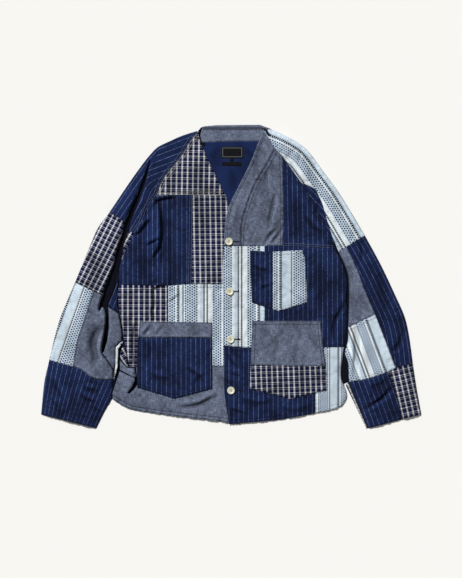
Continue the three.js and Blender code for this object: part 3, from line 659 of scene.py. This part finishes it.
# Madras check: a plain weave of navy and cream yarns, where cream crosses cream it is pale, and
# where it crosses navy it is mixed. The repeat is 13.3 mm.
CHECK_REPEAT = 13.3
CREAM, WARP_OVER_INK, WEFT_OVER_INK, INK = "#e8e7e2", "#96979f", "#7f828f", "#0a1034"
check, tree, shader, place, u, v = cloth_material("navy_and_cream_check_cotton")
warp = maths(tree, "LESS_THAN", repeat(tree, u, CHECK_REPEAT, 0.17), 0.29)
weft_place = repeat(tree, v, CHECK_REPEAT)
weft = maths(tree, "LESS_THAN", maths(tree, "PINGPONG", weft_place, 0.18), 0.065)
weft = maths(tree, "MULTIPLY", weft, maths(tree, "LESS_THAN", weft_place, 0.5))
crossing = maths(tree, "ADD", maths(tree, "MULTIPLY", warp, 0.55), maths(tree, "MULTIPLY", weft, 0.4))
crossed = ramp(tree, crossing, [(0.0, colour(INK)), (0.3, colour(WEFT_OVER_INK)),
                                (0.5, colour(WARP_OVER_INK)), (0.8, colour(CREAM))])
finish_cloth(tree, shader, crossed, place, slub(tree, place, 2.2, 2.2), 0.8)

# Dobby stripe: a pale blue cotton with white bands, brown-black dashed lines, and columns of small
# navy dots woven in a 128 mm repeat. Dots and dashes are drawn about twice as large, to show.
DOBBY_REPEAT = 128.0
DOT_ROW = 6.4
SKY, PALE, WHITE, BROWN, TAUPE = "#b8c8d7", "#c5d4df", "#d8e0e4", "#120d0c", "#4f4847"
dobby_bands = [(0, BROWN), (2, WHITE), (6, BROWN), (10, WHITE), (21, SKY), (42.5, WHITE),
               (46, SKY), (48.6, BROWN), (52.6, SKY), (56, PALE), (73, SKY), (74.8, TAUPE),
               (78.2, WHITE), (80.8, SKY), (112, WHITE), (119, SKY), (126, BROWN)]
dot_columns = [24, 29.5, 35, 40.5, 47.8, 82.5, 88, 93.5, 99, 104.5, 110]
dashed_lines = [(0, 2), (6, 10), (48.6, 52.6), (74.8, 78.2), (126, 128)]
DOT_WIDTH = 3.1
dobby, tree, shader, place, u, v = cloth_material("pale_blue_dobby_stripe_cotton")
across = repeat(tree, u, DOBBY_REPEAT)
bands = ramp(tree, across, [(p / DOBBY_REPEAT, colour(c)) for p, c in dobby_bands])
dot_stops = [(0.0, (0, 0, 0, 1))]
for i, column in enumerate(dot_columns):
    dot_stops += [((column - DOT_WIDTH / 2) / DOBBY_REPEAT, (1, 0.5 * (i % 2), 0, 1)),
                  ((column + DOT_WIDTH / 2) / DOBBY_REPEAT, (0, 0, 0, 1))]
columns = add(tree, "ShaderNodeSeparateColor", [(0, ramp(tree, across, dot_stops))])
row = maths(tree, "FRACT", maths(tree, "ADD", maths(tree, "DIVIDE", v, DOT_ROW), columns.outputs[1]))
dots = maths(tree, "MULTIPLY", columns.outputs[0], maths(tree, "LESS_THAN", row, 0.5))
dash_stops = [(0.0, (0, 0, 0, 1))]
for start, stop in dashed_lines:
    dash_stops += [(start / DOBBY_REPEAT, (1, 1, 1, 1)), (stop / DOBBY_REPEAT, (0, 0, 0, 1))]
dash_lines = add(tree, "ShaderNodeSeparateColor", [(0, ramp(tree, across, dash_stops[1:]))])
gaps = maths(tree, "MULTIPLY", dash_lines.outputs[0],
             maths(tree, "GREATER_THAN", repeat(tree, v, 4.9), 0.76))
striped = mix(tree, gaps, bands, colour(PALE))
finish_cloth(tree, shader, mix(tree, dots, striped, colour("#0a1236")), place, slub(tree, place, 1.8, 5),
             0.4)

# Chambray: a plain weave of indigo warp and white weft, slubby both ways, which reads as a dusty
# grey blue with fine light and dark threads. The slubs are drawn 1.5 mm wide, to show.
chambray, tree, shader, place, u, v = cloth_material("indigo_chambray_cotton")
threads = maths(tree, "ADD", slub(tree, place, 1.5, 14), slub(tree, place, 11, 1.5))
threads = maths(tree, "MULTIPLY", threads, 0.5)
tone = ramp(tree, threads, [(0.34, colour("#464e62")), (0.5, colour("#5e667a")),
                            (0.66, colour("#7b8397"))], "LINEAR")
finish_cloth(tree, shader, tone, place, threads, 0.8)

# Plain navy poplin: the unlined inside of the back, an even mid navy.
plain, tree, shader, place, u, v = cloth_material("plain_navy_poplin_cotton")
finish_cloth(tree, shader, mix(tree, slub(tree, place, 40, 60), colour("#121e42"), colour("#192a54")),
             place, slub(tree, place, 1.5, 5))

# Near-black twill laid inside the sleeves and deep in the folds: painted shade, for the shadow in the gaps
# between the pieces.
painted_shade_cloth, tree, shader, place, u, v = cloth_material("near_black_painted_shade_twill")
finish_cloth(tree, shader, mix(tree, slub(tree, place, 30, 30), colour("#05060f"), colour("#0a0d1e")),
             place, slub(tree, place, 1.5, 5))

cloths = {"twill": twill, "check": check, "dobby": dobby, "chambray": chambray, "plain": plain}

# ---------------- under layer
# The back of the body and of the sleeves lies flat, under the fronts. Its inside shows in the neck,
# with the band across the back of the neck, and the rim of that band where it turns over.
UNDER_CELL = 8.0
under = {"flat": True, "cell": UNDER_CELL, "rests_on": ()}
back = sew("back_body", ["neck_seam left_raglan_chambray left_raglan_twill left_raglan_lower left_underarm "
    "hem -right_underarm -right_raglan_lower -right_raglan_middle -right_raglan_upper", (-81, 358),
    (-74, 366), "-neckband_end_right"], straight(0), slot="plain", **under)
NECK_WIDTH = 0.150    # outside this the back is near-black painted shade, where it shows only deep in the folds
# Outside the neck, and in the corner beside the right neckline, the back takes the near-black painted shade
# twill.
back.data.materials.append(painted_shade_cloth)
for face in back.data.polygons:
    painted_shade_corner = face.center.x < -0.066 and face.center.y > 0.322
    face.material_index = int(abs(face.center.x) > NECK_WIDTH or painted_shade_corner)
sew("back_neckband_chambray", ["-neck_seam neckband_end_right", (74, 371), "neckband_end_left"],
    straight(90), flat=True)
sew("back_neckband_rim_chambray", [(-69, 362), (-69, 368), (-38, 371), (69, 372), (98, 361.8), (82, 363),
    (74, 362.5)], straight(90), flat=True, base=LAYER)
# The backs of the sleeves are cut from the near-black painted shade twill.
sew("right_sleeve_back_twill", [(-82, 353), "shoulder elbow forearm cuff_outer cuff_hem", (-311, -330),
    (-293, -300), "-underarm -raglan_lower -raglan_middle -raglan_upper"], straight(26), material=painted_shade_cloth,
    **under)
sew("left_sleeve_back_twill", [(80.3, 356.6), (75.8, 362.8), (75.8, 365), (84, 364.5), "shoulder elbow "
    "cuff_outer", (418, -349), "-cuff_edge_seam -underarm -raglan_lower -raglan_twill -raglan_chambray "
    "-raglan_band"], straight(-26), material=painted_shade_cloth, **under)
sew("left_sleeve_edge_check", ["cuff_edge_seam", (331, -373), (280, -266)], straight(-23), flat=True)

# ---------------- wearer's right sleeve
# A raglan sleeve of five patches. It folds under itself beside the chest, so that a deep crease
# opens between the top of the arm and the front.


def across_shoulder(x, y):
    """On the shoulder the stripes run across to the front, and turn down towards the arm."""
    level, v_level = straight(69, (-185, 222))(x, y)
    steep, v_steep = straight(30, (-185, 222))(x, y)
    down = smooth_between(y, 262, 180)
    return level * 0.88 * (1 - down) + steep * down, v_level


SLEEVE_EDGE = 6.0     # how far in a folded edge takes to roll down
right_roll = [(name, SLEEVE_EDGE, 1.1) for name in SLEEVE_FOLDS[:5]]
slit = [(name, 5.0, 3.0) for name in ("fold_outer_upper", "fold_outer_lower", "fold_inner_upper",
                                      "fold_inner_lower")]
top = sew("right_sleeve_top_twill", [(-82, 353), "shoulder upper_arm_seam -fold_outer_upper "
    "fold_inner_upper upper_arm_seam_inner -raglan_middle -raglan_upper"],
    beside(line["right_shoulder"][2:], 6), curl=right_roll + slit)
laid = top.data.uv_layers["grain"].data
for face in top.data.polygons:
    # beyond the fold, which runs down the sleeve from the top of the shoulder
    if face.center.x / MM + 177 > 0.544 * (face.center.y / MM - 308):
        for corner in face.loop_indices:
            point = top.data.vertices[top.data.loops[corner].vertex_index].co / MM
            laid[corner].uv = Vector(across_shoulder(point.x, point.y)) * MM
sew("right_sleeve_check", "elbow elbow_seam elbow_seam_inner -fold_outer_lower -upper_arm_seam",
    straight(27, (-320, 90)), curl=right_roll + slit)
sew("right_sleeve_check_inner", "fold_inner_lower -raglan_lower -upper_arm_seam_inner", straight(30),
    curl=slit[2:])
sew("right_sleeve_dobby", "forearm cuff_seam_outer -forearm_seam -elbow_seam",
    straight(19.5, (-365.7 - 76.4, -27.3)), curl=right_roll)
sew("right_sleeve_chambray", "forearm_seam cuff_seam_inner -inner_arm -elbow_seam_inner", straight(18),
    curl=[("right_inner_arm", 6.0, 2.5)])
sew("right_sleeve_cuff_twill", "cuff_outer cuff_hem -cuff_inner -cuff_seam_inner -cuff_seam_outer",
    fan((-544, -828), 620), free="cuff_hem", curl=right_roll)

# The side under the arm, where the cloth turns under between the sleeve and the front.
sew("right_side_twill", [(-276, 18), (-277, -20), (-280, -38), (-279, -62), (-276, -88), (-288, -80),
    (-300, -72), (-299, -64), (-286, -33), (-279, -3)], straight(22))
sew("right_side_chambray", [(-301, -74), (-288, -82), (-276, -90.5), (-272, -111), (-268, -140),
    (-269, -155), (-284, -170), (-285, -216), (-288, -226), (-302, -204), (-314, -187), (-310, -182),
    (-303, -158), (-299, -127), (-299, -96)], straight(30))
sew("right_side_dobby", [(-267, -157), (-265, -160), (-277, -177), (-278, -218), (-286, -251),
    (-288.5, -250), (-286.5, -229), (-283.5, -217), (-282.5, -172)], straight(0, (-294, 0)))
sew("right_side_check_turned", [(-264.5, -164), (-260.5, -173), (-254.5, -203), (-251, -220.5),
    (-253, -221), (-271, -203), (-272, -187)], straight(-32))
sew("right_side_chambray_turned", [(-273, -204), (-254, -223), (-236, -223), (-233, -243), (-237, -247),
    (-272, -228)], straight(-40))

# ---------------- wearer's right front
# Six patches felled together, and a patch pocket of twill with a chambray band.
side_drop = [("right_side_upper", 5.0, 3.0), ("right_side_lower", 4.0, 4.0)]
sew("right_front_yoke_check", "raglan_upper yoke_seam yoke_seam_centre -neckline", straight(1, (-81, 210)),
    free="neckline")
sew("right_front_chest_twill", "raglan_middle raglan_lower side_upper waist_seam_side waist_seam_middle "
    "-centre_seam -yoke_seam", straight(0, (-133, 0)), curl=side_drop[:1])
sew("right_front_centre_check", "centre_seam waist_seam_centre -edge_upper -yoke_seam_centre",
    straight(-1, (-64, 100)))
sew("right_front_side_check", "side_lower hem_seam_side hem_seam_middle -hip_seam -waist_seam_side",
    straight(0, (-226, -100)), curl=side_drop[1:])


def waist_grain(x, y):
    """Part of the repeat is hidden in the crease near the side."""
    return x + 67 - 15 * smooth_between(x, -121, -127), y


sew("right_front_waist_dobby", "hip_seam hem_seam_centre -edge_middle -waist_seam_centre "
    "-waist_seam_middle", waist_grain)
sew("right_front_hem_chambray", ["-hem_seam_centre -hem_seam_middle", (-231, -243), (-229, -263),
    (-238, -276), (-250, -286), (-255, -284), (-244, -271), (-237, -256), (-236, -249), (-273, -231),
    (-291, -284), "hem -edge_lower"], straight(0), free="hem")
sew("right_pocket_band_chambray", [(-224, -109), (-228, -149), (-47, -150), (-47, -112)], straight(90),
    on_single, rests_on=("right_front_side_check_cloth",))
sew("right_pocket_twill", [(-228, -149), (-231, -202), (-230, -271), (-138, -298), (-47, -274),
    (-47, -150)], straight(0, (-219, 0)), on_single, rests_on=("right_front_side_check_cloth",))

# ---------------- wearer's left front
# Seven patches, lapping over the right front, with a chest pocket and a lower pocket.
left_drop = [("left_side_upper", 7.0, 2.2), ("left_side_lower", 7.0, 2.2)]
sew("left_front_neckband_chambray", "lap_neck bust_seam_band -band_seam -raglan_band", straight(-27),
    lapped, free="lap_neck")
sew("left_front_chest_chambray", "band_seam bust_seam_placket bust_seam_chest -chest_seam "
    "-raglan_chambray", straight(0), lapped)
sew("left_front_chest_twill", "chest_seam bust_seam_side -raglan_lower -raglan_twill",
    straight(-1, (139, 100)), lapped)
sew("left_front_body_twill", "placket_seam hem_seam_middle hem_seam_side -side_upper -bust_seam_side "
    "-bust_seam_chest", straight(0, (139, 0)), lapped, curl=left_drop[:1])
sew("left_front_placket_dobby", "lap_middle hem_seam_placket -placket_seam -bust_seam_placket "
    "-bust_seam_band", straight(0, (17, 0)), lapped)
sew("left_front_hem_twill", "lap_lower hem_centre -hem_panel_seam -hem_seam_middle -hem_seam_placket",
    straight(0, (6, 0)), lapped, free="hem_centre")


def side_grain(x, y):
    """Turned the other way round, its single line is near the side."""
    return 50.5 + (261 - x) * 1.25, y


sew("left_front_side_dobby", "hem_panel_seam hem_side -side_lower -hem_seam_side", side_grain, lapped,
    free="hem_side", curl=left_drop[1:])
sew("chest_pocket_twill", [(45, 64), (50, -63), (81, -73), (101, -80), (101, 61)], straight(0, (58, 0)),
    on_lapped, rests_on=("left_front_placket_dobby_cloth",))
sew("chest_pocket_dobby", [(101, 61), (101, -80), (117, -84), (185, -63), (184, -33), (180, 43),
    (173, 65)], straight(0, (121 - 50.5, 0)), on_lapped, rests_on=("left_front_body_twill_cloth",))
sew("left_pocket_chambray", [(51, -108), (49, -158), (47, -216), (231, -219), (223, -158), (218, -108)],
    straight(0), on_lapped, rests_on=("left_front_body_twill_cloth",))
sew("left_pocket_check", [(47, -216), (45, -273), (144, -299), (233, -277), (233, -249), (231, -219)],
    straight(-2, (100, -250)), on_lapped, rests_on=("left_front_hem_twill_cloth",))

# ---------------- wearer's left sleeve
# A raglan sleeve of seven patches.
left_roll = [(name, SLEEVE_EDGE, 1.1) for name in SLEEVE_FOLDS[5:]]
inner_arm = [("left_inner_arm_upper", 6.0, 2.0), ("left_inner_arm_lower", 6.0, 2.0)]
sew("left_sleeve_front_twill", ["raglan_lower", (258, 64), "-front_fold"], straight(-44))
sew("left_sleeve_top_dobby", "raglan_band raglan_chambray raglan_twill front_fold front_fold_end "
    "upper_arm_seam_inner upper_arm_seam_outer -shoulder", beside(line["left_shoulder"][2:], 64, -1),
    curl=left_roll)
sew("left_sleeve_outer_twill", "arm_seam_upper arm_seam_lower cuff_seam_end -elbow -upper_arm_seam_outer",
    beside(line["left_elbow"], 7), curl=left_roll)
sew("left_sleeve_chambray", "inner_arm_upper forearm_seam -arm_seam_upper -upper_arm_seam_inner",
    straight(-20), curl=inner_arm)
sew("left_sleeve_lower_dobby", "inner_arm_lower cuff_seam_inner cuff_seam_outer -arm_seam_lower "
    "-forearm_seam", straight(-20.5, (328.7, -245.9)), curl=inner_arm)
sew("left_sleeve_cuff_twill", "cuff_inner cuff_hem_inner -cuff_panel_seam -cuff_seam_inner", straight(-20),
    free="cuff_hem_inner", curl=left_roll)
sew("left_sleeve_cuff_check", "cuff_panel_seam cuff_hem_outer -cuff_outer -cuff_seam_end -cuff_seam_outer",
    straight(-13), free="cuff_hem_outer", curl=left_roll)

# ---------------- labels
# Three woven labels in the back of the neck: bare black damask, and on the large one a grey line
# woven inside the edge. They are sewn down flat.


def label_material(name, width, height, line_share):
    """Black damask, with a share of a 1.2 mm grey line 2 mm inside the edge."""
    material, tree, shader, place, u, v = cloth_material(name)
    from_side = maths(tree, "SUBTRACT", width / 2, maths(tree, "ABSOLUTE", u))
    from_end = maths(tree, "SUBTRACT", height / 2, maths(tree, "ABSOLUTE", v))
    inset = maths(tree, "MINIMUM", from_side, from_end)
    rim = maths(tree, "MULTIPLY", maths(tree, "GREATER_THAN", inset, 2.0),
                maths(tree, "LESS_THAN", inset, 3.2))
    black = mix(tree, slub(tree, place, 1.2, 1.2), colour("#0a0a0c"), colour("#17171a"))
    tone = mix(tree, maths(tree, "MULTIPLY", rim, line_share), black, colour("#6f6f69"))
    finish_cloth(tree, shader, tone, place, slub(tree, place, 1.0, 1.0))
    return material


for name in ("label_main", "label_size", "label_care"):
    low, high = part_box(name)
    left, bottom, right, top = (side / MM for side in (low.x, low.y, high.x, high.y))
    line_share = 0.9 if name == "label_main" else 0.0
    damask = label_material("woven_damask_" + name, right - left, top - bottom, line_share)
    sew(name, [(left, bottom), (right, bottom), (right, top), (left, top)],
        straight(0, ((left + right) / 2, (bottom + top) / 2)), slot="label", material=damask,
        base=LAYER - 0.2, flat=True, rests_on=("back_body_cloth",))

# ---------------- buttons
# Four-hole buttons of pale urea resin, 18.4 mm across with a raised rim, each sewn on through its
# buttonhole with navy thread. They are turned from a blank, then drilled.
HOLE_RING = 2.1       # from the middle to each hole
HOLE_RADIUS = 0.85
urea, tree, shader, place, u, v = cloth_material("ivory_urea_resin")
shader.inputs["Roughness"].default_value = 0.34
shader.inputs["Specular IOR Level"].default_value = 0.5
shader.inputs["Sheen Weight"].default_value = 0.0
coords = add(tree, "ShaderNodeTexCoord").outputs["Object"]
cloud = add(tree, "ShaderNodeTexNoise", [("Vector", coords), ("Scale", 160.0), ("Detail", 3.0)])
tree.links.new(mix(tree, cloud.outputs["Fac"], colour("#c9c8ae"), colour("#dddcc6")),
               shader.inputs["Base Color"])
grain_bump = add(tree, "ShaderNodeBump", [("Strength", 0.15), ("Distance", 0.0002),
                                          ("Height", cloud.outputs["Fac"])])
tree.links.new(grain_bump.outputs[0], shader.inputs["Normal"])

profile = [(0, 0.3), (7.6, 0.3), (8.6, 0.6), (9.2, 1.4), (9.2, 2.3), (8.8, 2.9), (8.1, 3.2),
           (7.4, 3.1), (6.6, 2.6), (5.4, 2.2), (3.6, 2.1), (0, 2.1)]    # radius and height


def surface_of(*names):
    """For dropping points on to pieces of cloth: a search tree over all their faces."""
    corners, faces = [], []
    for name in names:
        mesh = bpy.data.objects[name + "_cloth"].data
        start = len(corners)
        corners += [v.co.copy() for v in mesh.vertices]
        faces += [[start + i for i in p.vertices] for p in mesh.polygons]
    return BVHTree.FromPolygons(corners, faces)


def height_on(surface, x, y):
    """The height of the cloth at a point in mm, or None off its edge."""
    hit = surface.ray_cast(Vector((x * MM, y * MM, 0.08)), Vector((0, 0, -1)))[0]
    return None if hit is None else hit.z / MM


lap = surface_of("left_front_neckband_chambray", "left_front_placket_dobby", "left_front_hem_twill")
button_centres = []
for i in range(1, 5):
    low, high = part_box(f"button_{i}")
    cx, cy = (low.x + high.x) / 2 / MM, (low.y + high.y) / 2 / MM
    around = [height_on(lap, cx + r * math.cos(a), cy + r * math.sin(a))
              for r in (0, 5, 8.5) for a in np.arange(0, 2 * math.pi, 0.5)]
    seat = max(h for h in around if h is not None)
    button_centres.append((cx, cy, seat))
    bm = bmesh.new()
    ring = [bm.verts.new((r, 0, z)) for r, z in profile]
    rim = [bm.edges.new(pair) for pair in zip(ring, ring[1:])]
    bmesh.ops.spin(bm, geom=ring + rim, cent=(0, 0, 0), axis=(0, 0, 1), dvec=(0, 0, 0),
                   angle=2 * math.pi, steps=40, use_merge=True, use_duplicate=False)
    bmesh.ops.remove_doubles(bm, verts=bm.verts, dist=1e-3)
    bmesh.ops.recalc_face_normals(bm, faces=bm.faces)
    seated = Matrix.Scale(MM, 4) @ Matrix.Translation((cx, cy, seat))
    bmesh.ops.transform(bm, verts=bm.verts, matrix=seated)
    button = finished(f"button_{i}_urea", mesh_of(f"button_{i}_urea", bm), urea)
    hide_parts(f"button_{i}")
    drill = bmesh.new()
    for k in range(4):
        a = math.pi / 4 + k * math.pi / 2
        bmesh.ops.create_cone(
            drill, cap_ends=True, segments=12, radius1=HOLE_RADIUS, radius2=HOLE_RADIUS, depth=12,
            matrix=Matrix.Translation((HOLE_RING * math.cos(a), HOLE_RING * math.sin(a), 0)))
    bmesh.ops.transform(drill, verts=drill.verts, matrix=seated)
    tool = placed("drill", mesh_of("drill", drill))
    cut = button.modifiers.new("holes", "BOOLEAN")
    cut.object = tool
    cut.solver = "EXACT"
    evaluated = button.evaluated_get(bpy.context.evaluated_depsgraph_get())
    drilled = bpy.data.meshes.new_from_object(evaluated)
    button.modifiers.clear()
    button.data = drilled
    bpy.data.objects.remove(tool)

# ---------------- stitching
# Every seam is felled and topstitched in cotton thread, in rows 1.7 and 7.2 mm from the seam, and
# the hems and pockets are edge-stitched. Each stitch is a rounded grain of thread on the cloth.
STITCH = 2.6          # length of a stitch
STITCH_PITCH = 3.3    # from one to the next
SEAM_ROWS = (1.7, 7.2)
HEM_ROWS = (2.0, 9.5)
CUFF_ROWS = (2.5, 22)
POCKET_ROWS = (2.2, 8)
CHEST_POCKET_ROWS = (2.2, 7.5)
ROW_PAINTED_SHADE = 0.45       # how much painted shade darkens the cloth along a row, where its groove lies in shadow


def thread_material(name, dark, light):
    """Mercerised cotton sewing thread: twisted, with a slight shine."""
    material, tree, shader, place, u, v = cloth_material(name)
    coords = add(tree, "ShaderNodeTexCoord").outputs["Object"]
    twist = add(tree, "ShaderNodeTexNoise", [("Vector", coords), ("Scale", 2500.0)])
    tree.links.new(mix(tree, twist.outputs["Fac"], colour(dark), colour(light)),
                   shader.inputs["Base Color"])
    shader.inputs["Roughness"].default_value = 0.6
    return material


threads = {
    "ink": thread_material("ink_cotton_thread", "#0a0d1c", "#1c2136"),
    "ecru": thread_material("ecru_cotton_thread", "#b7b4a6", "#dcdacf"),
    "slate": thread_material("slate_cotton_thread", "#5b6684", "#8c96b0"),
}


def lay_stitch(bm, surface, x, y, angle, length=STITCH, width=0.6):
    """One stitch of thread, laid on the cloth along an angle."""
    c, s = math.cos(angle), math.sin(angle)
    ends = [height_on(surface, x + k * length / 2 * c, y + k * length / 2 * s) for k in (-1, 1)]
    if None in ends:
        return
    slope = math.atan2(ends[1] - ends[0], length)
    place = (Matrix.Translation((x, y, sum(ends) / 2 + 0.1)) @ Matrix.Rotation(angle, 4, "Z")
             @ Matrix.Rotation(-slope, 4, "Y") @ Matrix.Diagonal((length / 2, width, width, 1)))
    bmesh.ops.create_icosphere(bm, subdivisions=1, radius=1, matrix=Matrix.Scale(MM, 4) @ place)


def stitch_row(bm, surface, path, offset):
    """A row of stitches at a distance from a path, on the side where the cloth is."""
    steps = [(Vector(b) - Vector(a)) for a, b in zip(path, path[1:])]
    total = sum(step.length for step in steps)
    middle = walk(path, steps, total / 2, offset)
    side = 1 if height_on(surface, middle[0], middle[1]) is not None else -1
    count = int(total / STITCH_PITCH)
    for k in range(count):
        x, y, angle = walk(path, steps, (k + 0.5) * total / count, side * offset)
        lay_stitch(bm, surface, x, y, angle)


def shade_row(cloth, path, offset):
    """Painted shade along a row of stitches: the cloth's colour is darkened where the row's groove lies in
    shadow.
    """
    mesh = bpy.data.objects[cloth + "_cloth"].data
    points = read_points(mesh) / MM
    distance = near_path(path, points[:, 0], points[:, 1])[0]
    fade = np.empty(len(mesh.vertices))
    mesh.attributes["fade"].data.foreach_get("value", fade)
    fade *= 1 - ROW_PAINTED_SHADE * np.exp(-(((distance - offset) / 1.4) ** 2))
    mesh.attributes["fade"].data.foreach_set("value", fade)


def walk(path, steps, distance, offset):
    """The point at a distance along a path and beside it, and the path's angle there."""
    for start, step in zip(path, steps):
        if distance <= step.length or step is steps[-1]:
            along = step.normalized()
            point = Vector(start) + along * distance + offset * Vector((-along.y, along.x))
            return point.x, point.y, math.atan2(along.y, along.x)
        distance -= step.length


# Each row: the cloth, its thread, how far the rows lie from the line, and the lines by name. On a
# pocket, a pair of numbers is the stretch from one corner of its own outline to another.
sewn = [
    ("right_front_yoke_check", "ecru", SEAM_ROWS, "raglan_upper yoke_seam yoke_seam_centre"),
    ("right_front_yoke_check", "ink", HEM_ROWS[:1], "neckline"),
    ("right_front_chest_twill", "slate", SEAM_ROWS, "centre_seam"),
    ("right_front_chest_twill", "ink", SEAM_ROWS, "waist_seam_side waist_seam_middle"),
    ("right_front_centre_check", "ink", SEAM_ROWS[:1], "waist_seam_centre edge_upper"),
    ("right_front_side_check", "ink", SEAM_ROWS, "hip_seam"),
    ("right_front_waist_dobby", "slate", SEAM_ROWS, "waist_seam_centre hem_seam_centre"),
    ("right_front_hem_chambray", "ink", HEM_ROWS, "hem"),
    ("right_front_hem_chambray", "ink", SEAM_ROWS[:1], "hem_seam_centre"),
    ("right_sleeve_top_twill", "slate", SEAM_ROWS, "raglan_upper raglan_middle"),
    ("right_sleeve_check", "ink", SEAM_ROWS, "upper_arm_seam elbow_seam elbow_seam_inner"),
    ("right_sleeve_dobby", "slate", SEAM_ROWS, "forearm_seam cuff_seam_outer"),
    ("right_sleeve_chambray", "ink", SEAM_ROWS[:1], "cuff_seam_inner forearm_seam"),
    ("right_sleeve_cuff_twill", "ink", CUFF_ROWS, "cuff_hem"),
    ("left_front_neckband_chambray", "ink", (3.2, 6.8), "lap_neck"),
    ("left_front_neckband_chambray", "ink", SEAM_ROWS[:1], "band_seam bust_seam_band"),
    ("left_front_chest_chambray", "ink", SEAM_ROWS, "band_seam chest_seam raglan_chambray"),
    ("left_front_chest_twill", "slate", SEAM_ROWS, "bust_seam_side"),
    ("left_front_chest_twill", "ink", SEAM_ROWS, "raglan_twill raglan_lower"),
    ("left_front_body_twill", "ink", SEAM_ROWS, "placket_seam hem_seam_side"),
    ("left_front_placket_dobby", "slate", SEAM_ROWS[:1],
     "lap_middle hem_seam_placket bust_seam_band bust_seam_placket"),
    ("left_front_hem_twill", "ink", HEM_ROWS, "hem_centre"),
    ("left_front_hem_twill", "ink", SEAM_ROWS,
     "hem_seam_placket hem_seam_middle hem_panel_seam lap_lower"),
    ("left_front_side_dobby", "slate", HEM_ROWS, "hem_side"),
    ("left_front_side_dobby", "slate", SEAM_ROWS[:1], "hem_panel_seam hem_seam_side"),
    ("left_sleeve_top_dobby", "slate", SEAM_ROWS, "raglan_band raglan_chambray raglan_twill"),
    ("left_sleeve_outer_twill", "ink", SEAM_ROWS, "arm_seam_upper arm_seam_lower upper_arm_seam_outer"),
    ("left_sleeve_lower_dobby", "slate", SEAM_ROWS, "forearm_seam cuff_seam_inner"),
    ("left_sleeve_cuff_check", "ink", SEAM_ROWS[:1], "cuff_panel_seam cuff_seam_end"),
    ("left_sleeve_cuff_check", "ink", CUFF_ROWS, "cuff_hem_outer"),
    ("left_sleeve_cuff_twill", "ink", CUFF_ROWS, "cuff_hem_inner"),
    ("back_neckband_chambray", "ink", SEAM_ROWS[:1], "neck_seam neckband_fold"),
    ("back_neckband_rim_chambray", "ink", (1.5, 3.5), "neckband_rim_fold"),
    ("right_pocket_band_chambray", "ink", POCKET_ROWS[:1], [(4, 3), (1, 2), (3, 2), (0, 1)]),
    ("right_pocket_twill", "ink", POCKET_ROWS, [(5, 4), (0, 2), (4, 2)]),
    ("chest_pocket_twill", "ink", CHEST_POCKET_ROWS, [(0, 1), (1, 3), (5, 4)]),
    ("chest_pocket_dobby", "slate", CHEST_POCKET_ROWS, [(7, 6), (6, 3), (1, 3)]),
    ("left_pocket_chambray", "ink", POCKET_ROWS, [(6, 5), (0, 2), (5, 3)]),
    ("left_pocket_check", "ink", POCKET_ROWS[:1], [(1, 3), (6, 5)]),
]
rows = {thread: bmesh.new() for thread in threads}
for cloth, thread, offsets, paths in sewn:
    surface = surface_of(cloth)
    if isinstance(paths, str):
        side = cloth.split("_")[0]
        drawn_paths = [curve_through(find_line(name, side)) for name in paths.split()]
    else:
        corners = [tuple(map(float, p)) for p in cut_shapes[cloth] + cut_shapes[cloth][:1]]
        drawn_paths = [corners[a:b + 1] if a < b else corners[b:a + 1][::-1] for a, b in paths]
    for path in drawn_paths:
        for offset in offsets:
            stitch_row(rows[thread], surface, path, offset)
            # painted shade along each row
            shade_row(cloth, path, offset)

# Buttonholes: two rows of close upright stitches, with the slit between them left uncut, from under each
# button to its left, and the thread that crosses in each button's holes.
HOLE_ENDS = (18, 18, 21, 31)
for (cx, cy, seat), stop in zip(button_centres, HOLE_ENDS):
    for x in np.arange(cx + 5, stop, 0.75):
        for side in (-0.9, 0.9):
            lay_stitch(rows["ink"], lap, x, cy + side, math.pi / 2, 2.2, 0.42)
    for y in np.arange(cy - 2, cy + 2.1, 0.7):
        lay_stitch(rows["ink"], lap, stop, y, 0.0, 2.6, 0.5)
    for side in (-1, 1):
        bmesh.ops.create_icosphere(
            rows["ink"], subdivisions=1, radius=1, matrix=Matrix.Scale(MM, 4)
            @ Matrix.Translation((cx, cy + side * 1.45, seat + 2.3))
            @ Matrix.Diagonal((2.0, 0.5, 0.4, 1)))
for thread, bm in rows.items():
    finished("stitching_" + thread, mesh_of("stitching_" + thread, bm), threads[thread])

# ---------------- stage, light and camera
# A pale floor that the jacket lies on, a soft key light from beyond its right shoulder, an even
# white surround, and a camera straight above.
bm = bmesh.new()
bmesh.ops.create_grid(bm, x_segments=1, y_segments=1, size=6)
floor = placed("floor", mesh_of("floor", bm))
paper = bpy.data.materials.new("white_paper")
paper.use_nodes = True
paper_shader = paper.node_tree.nodes["Principled BSDF"]
paper_shader.inputs["Base Color"].default_value = colour("#f4f3ef")
paper_shader.inputs["Roughness"].default_value = 1.0
paper_shader.inputs["Specular IOR Level"].default_value = 0.0
floor.data.materials.append(paper)

key = bpy.data.lights.new("key", "SUN")
key.energy = 3.75
key.angle = math.radians(12)
placed("key", key).rotation_euler = Vector((-0.52, 0.72, 0.80)).to_track_quat("Z", "Y").to_euler()
world = bpy.data.worlds.new("surround")
world.use_nodes = True
world.node_tree.nodes["Background"].inputs["Color"].default_value = (1, 1, 1, 1)
world.node_tree.nodes["Background"].inputs["Strength"].default_value = 0.24
scene.world = world
scene.view_settings.view_transform = "Standard"

FRAME_HEIGHT = 1.416    # height of the view on the floor, in metres
lens = bpy.data.cameras.new("camera")
lens.lens = 100
lens.sensor_width = 36
scene.camera = placed("camera", lens)
scene.camera.location = (-0.001, -0.030, FRAME_HEIGHT * lens.lens / lens.sensor_width)
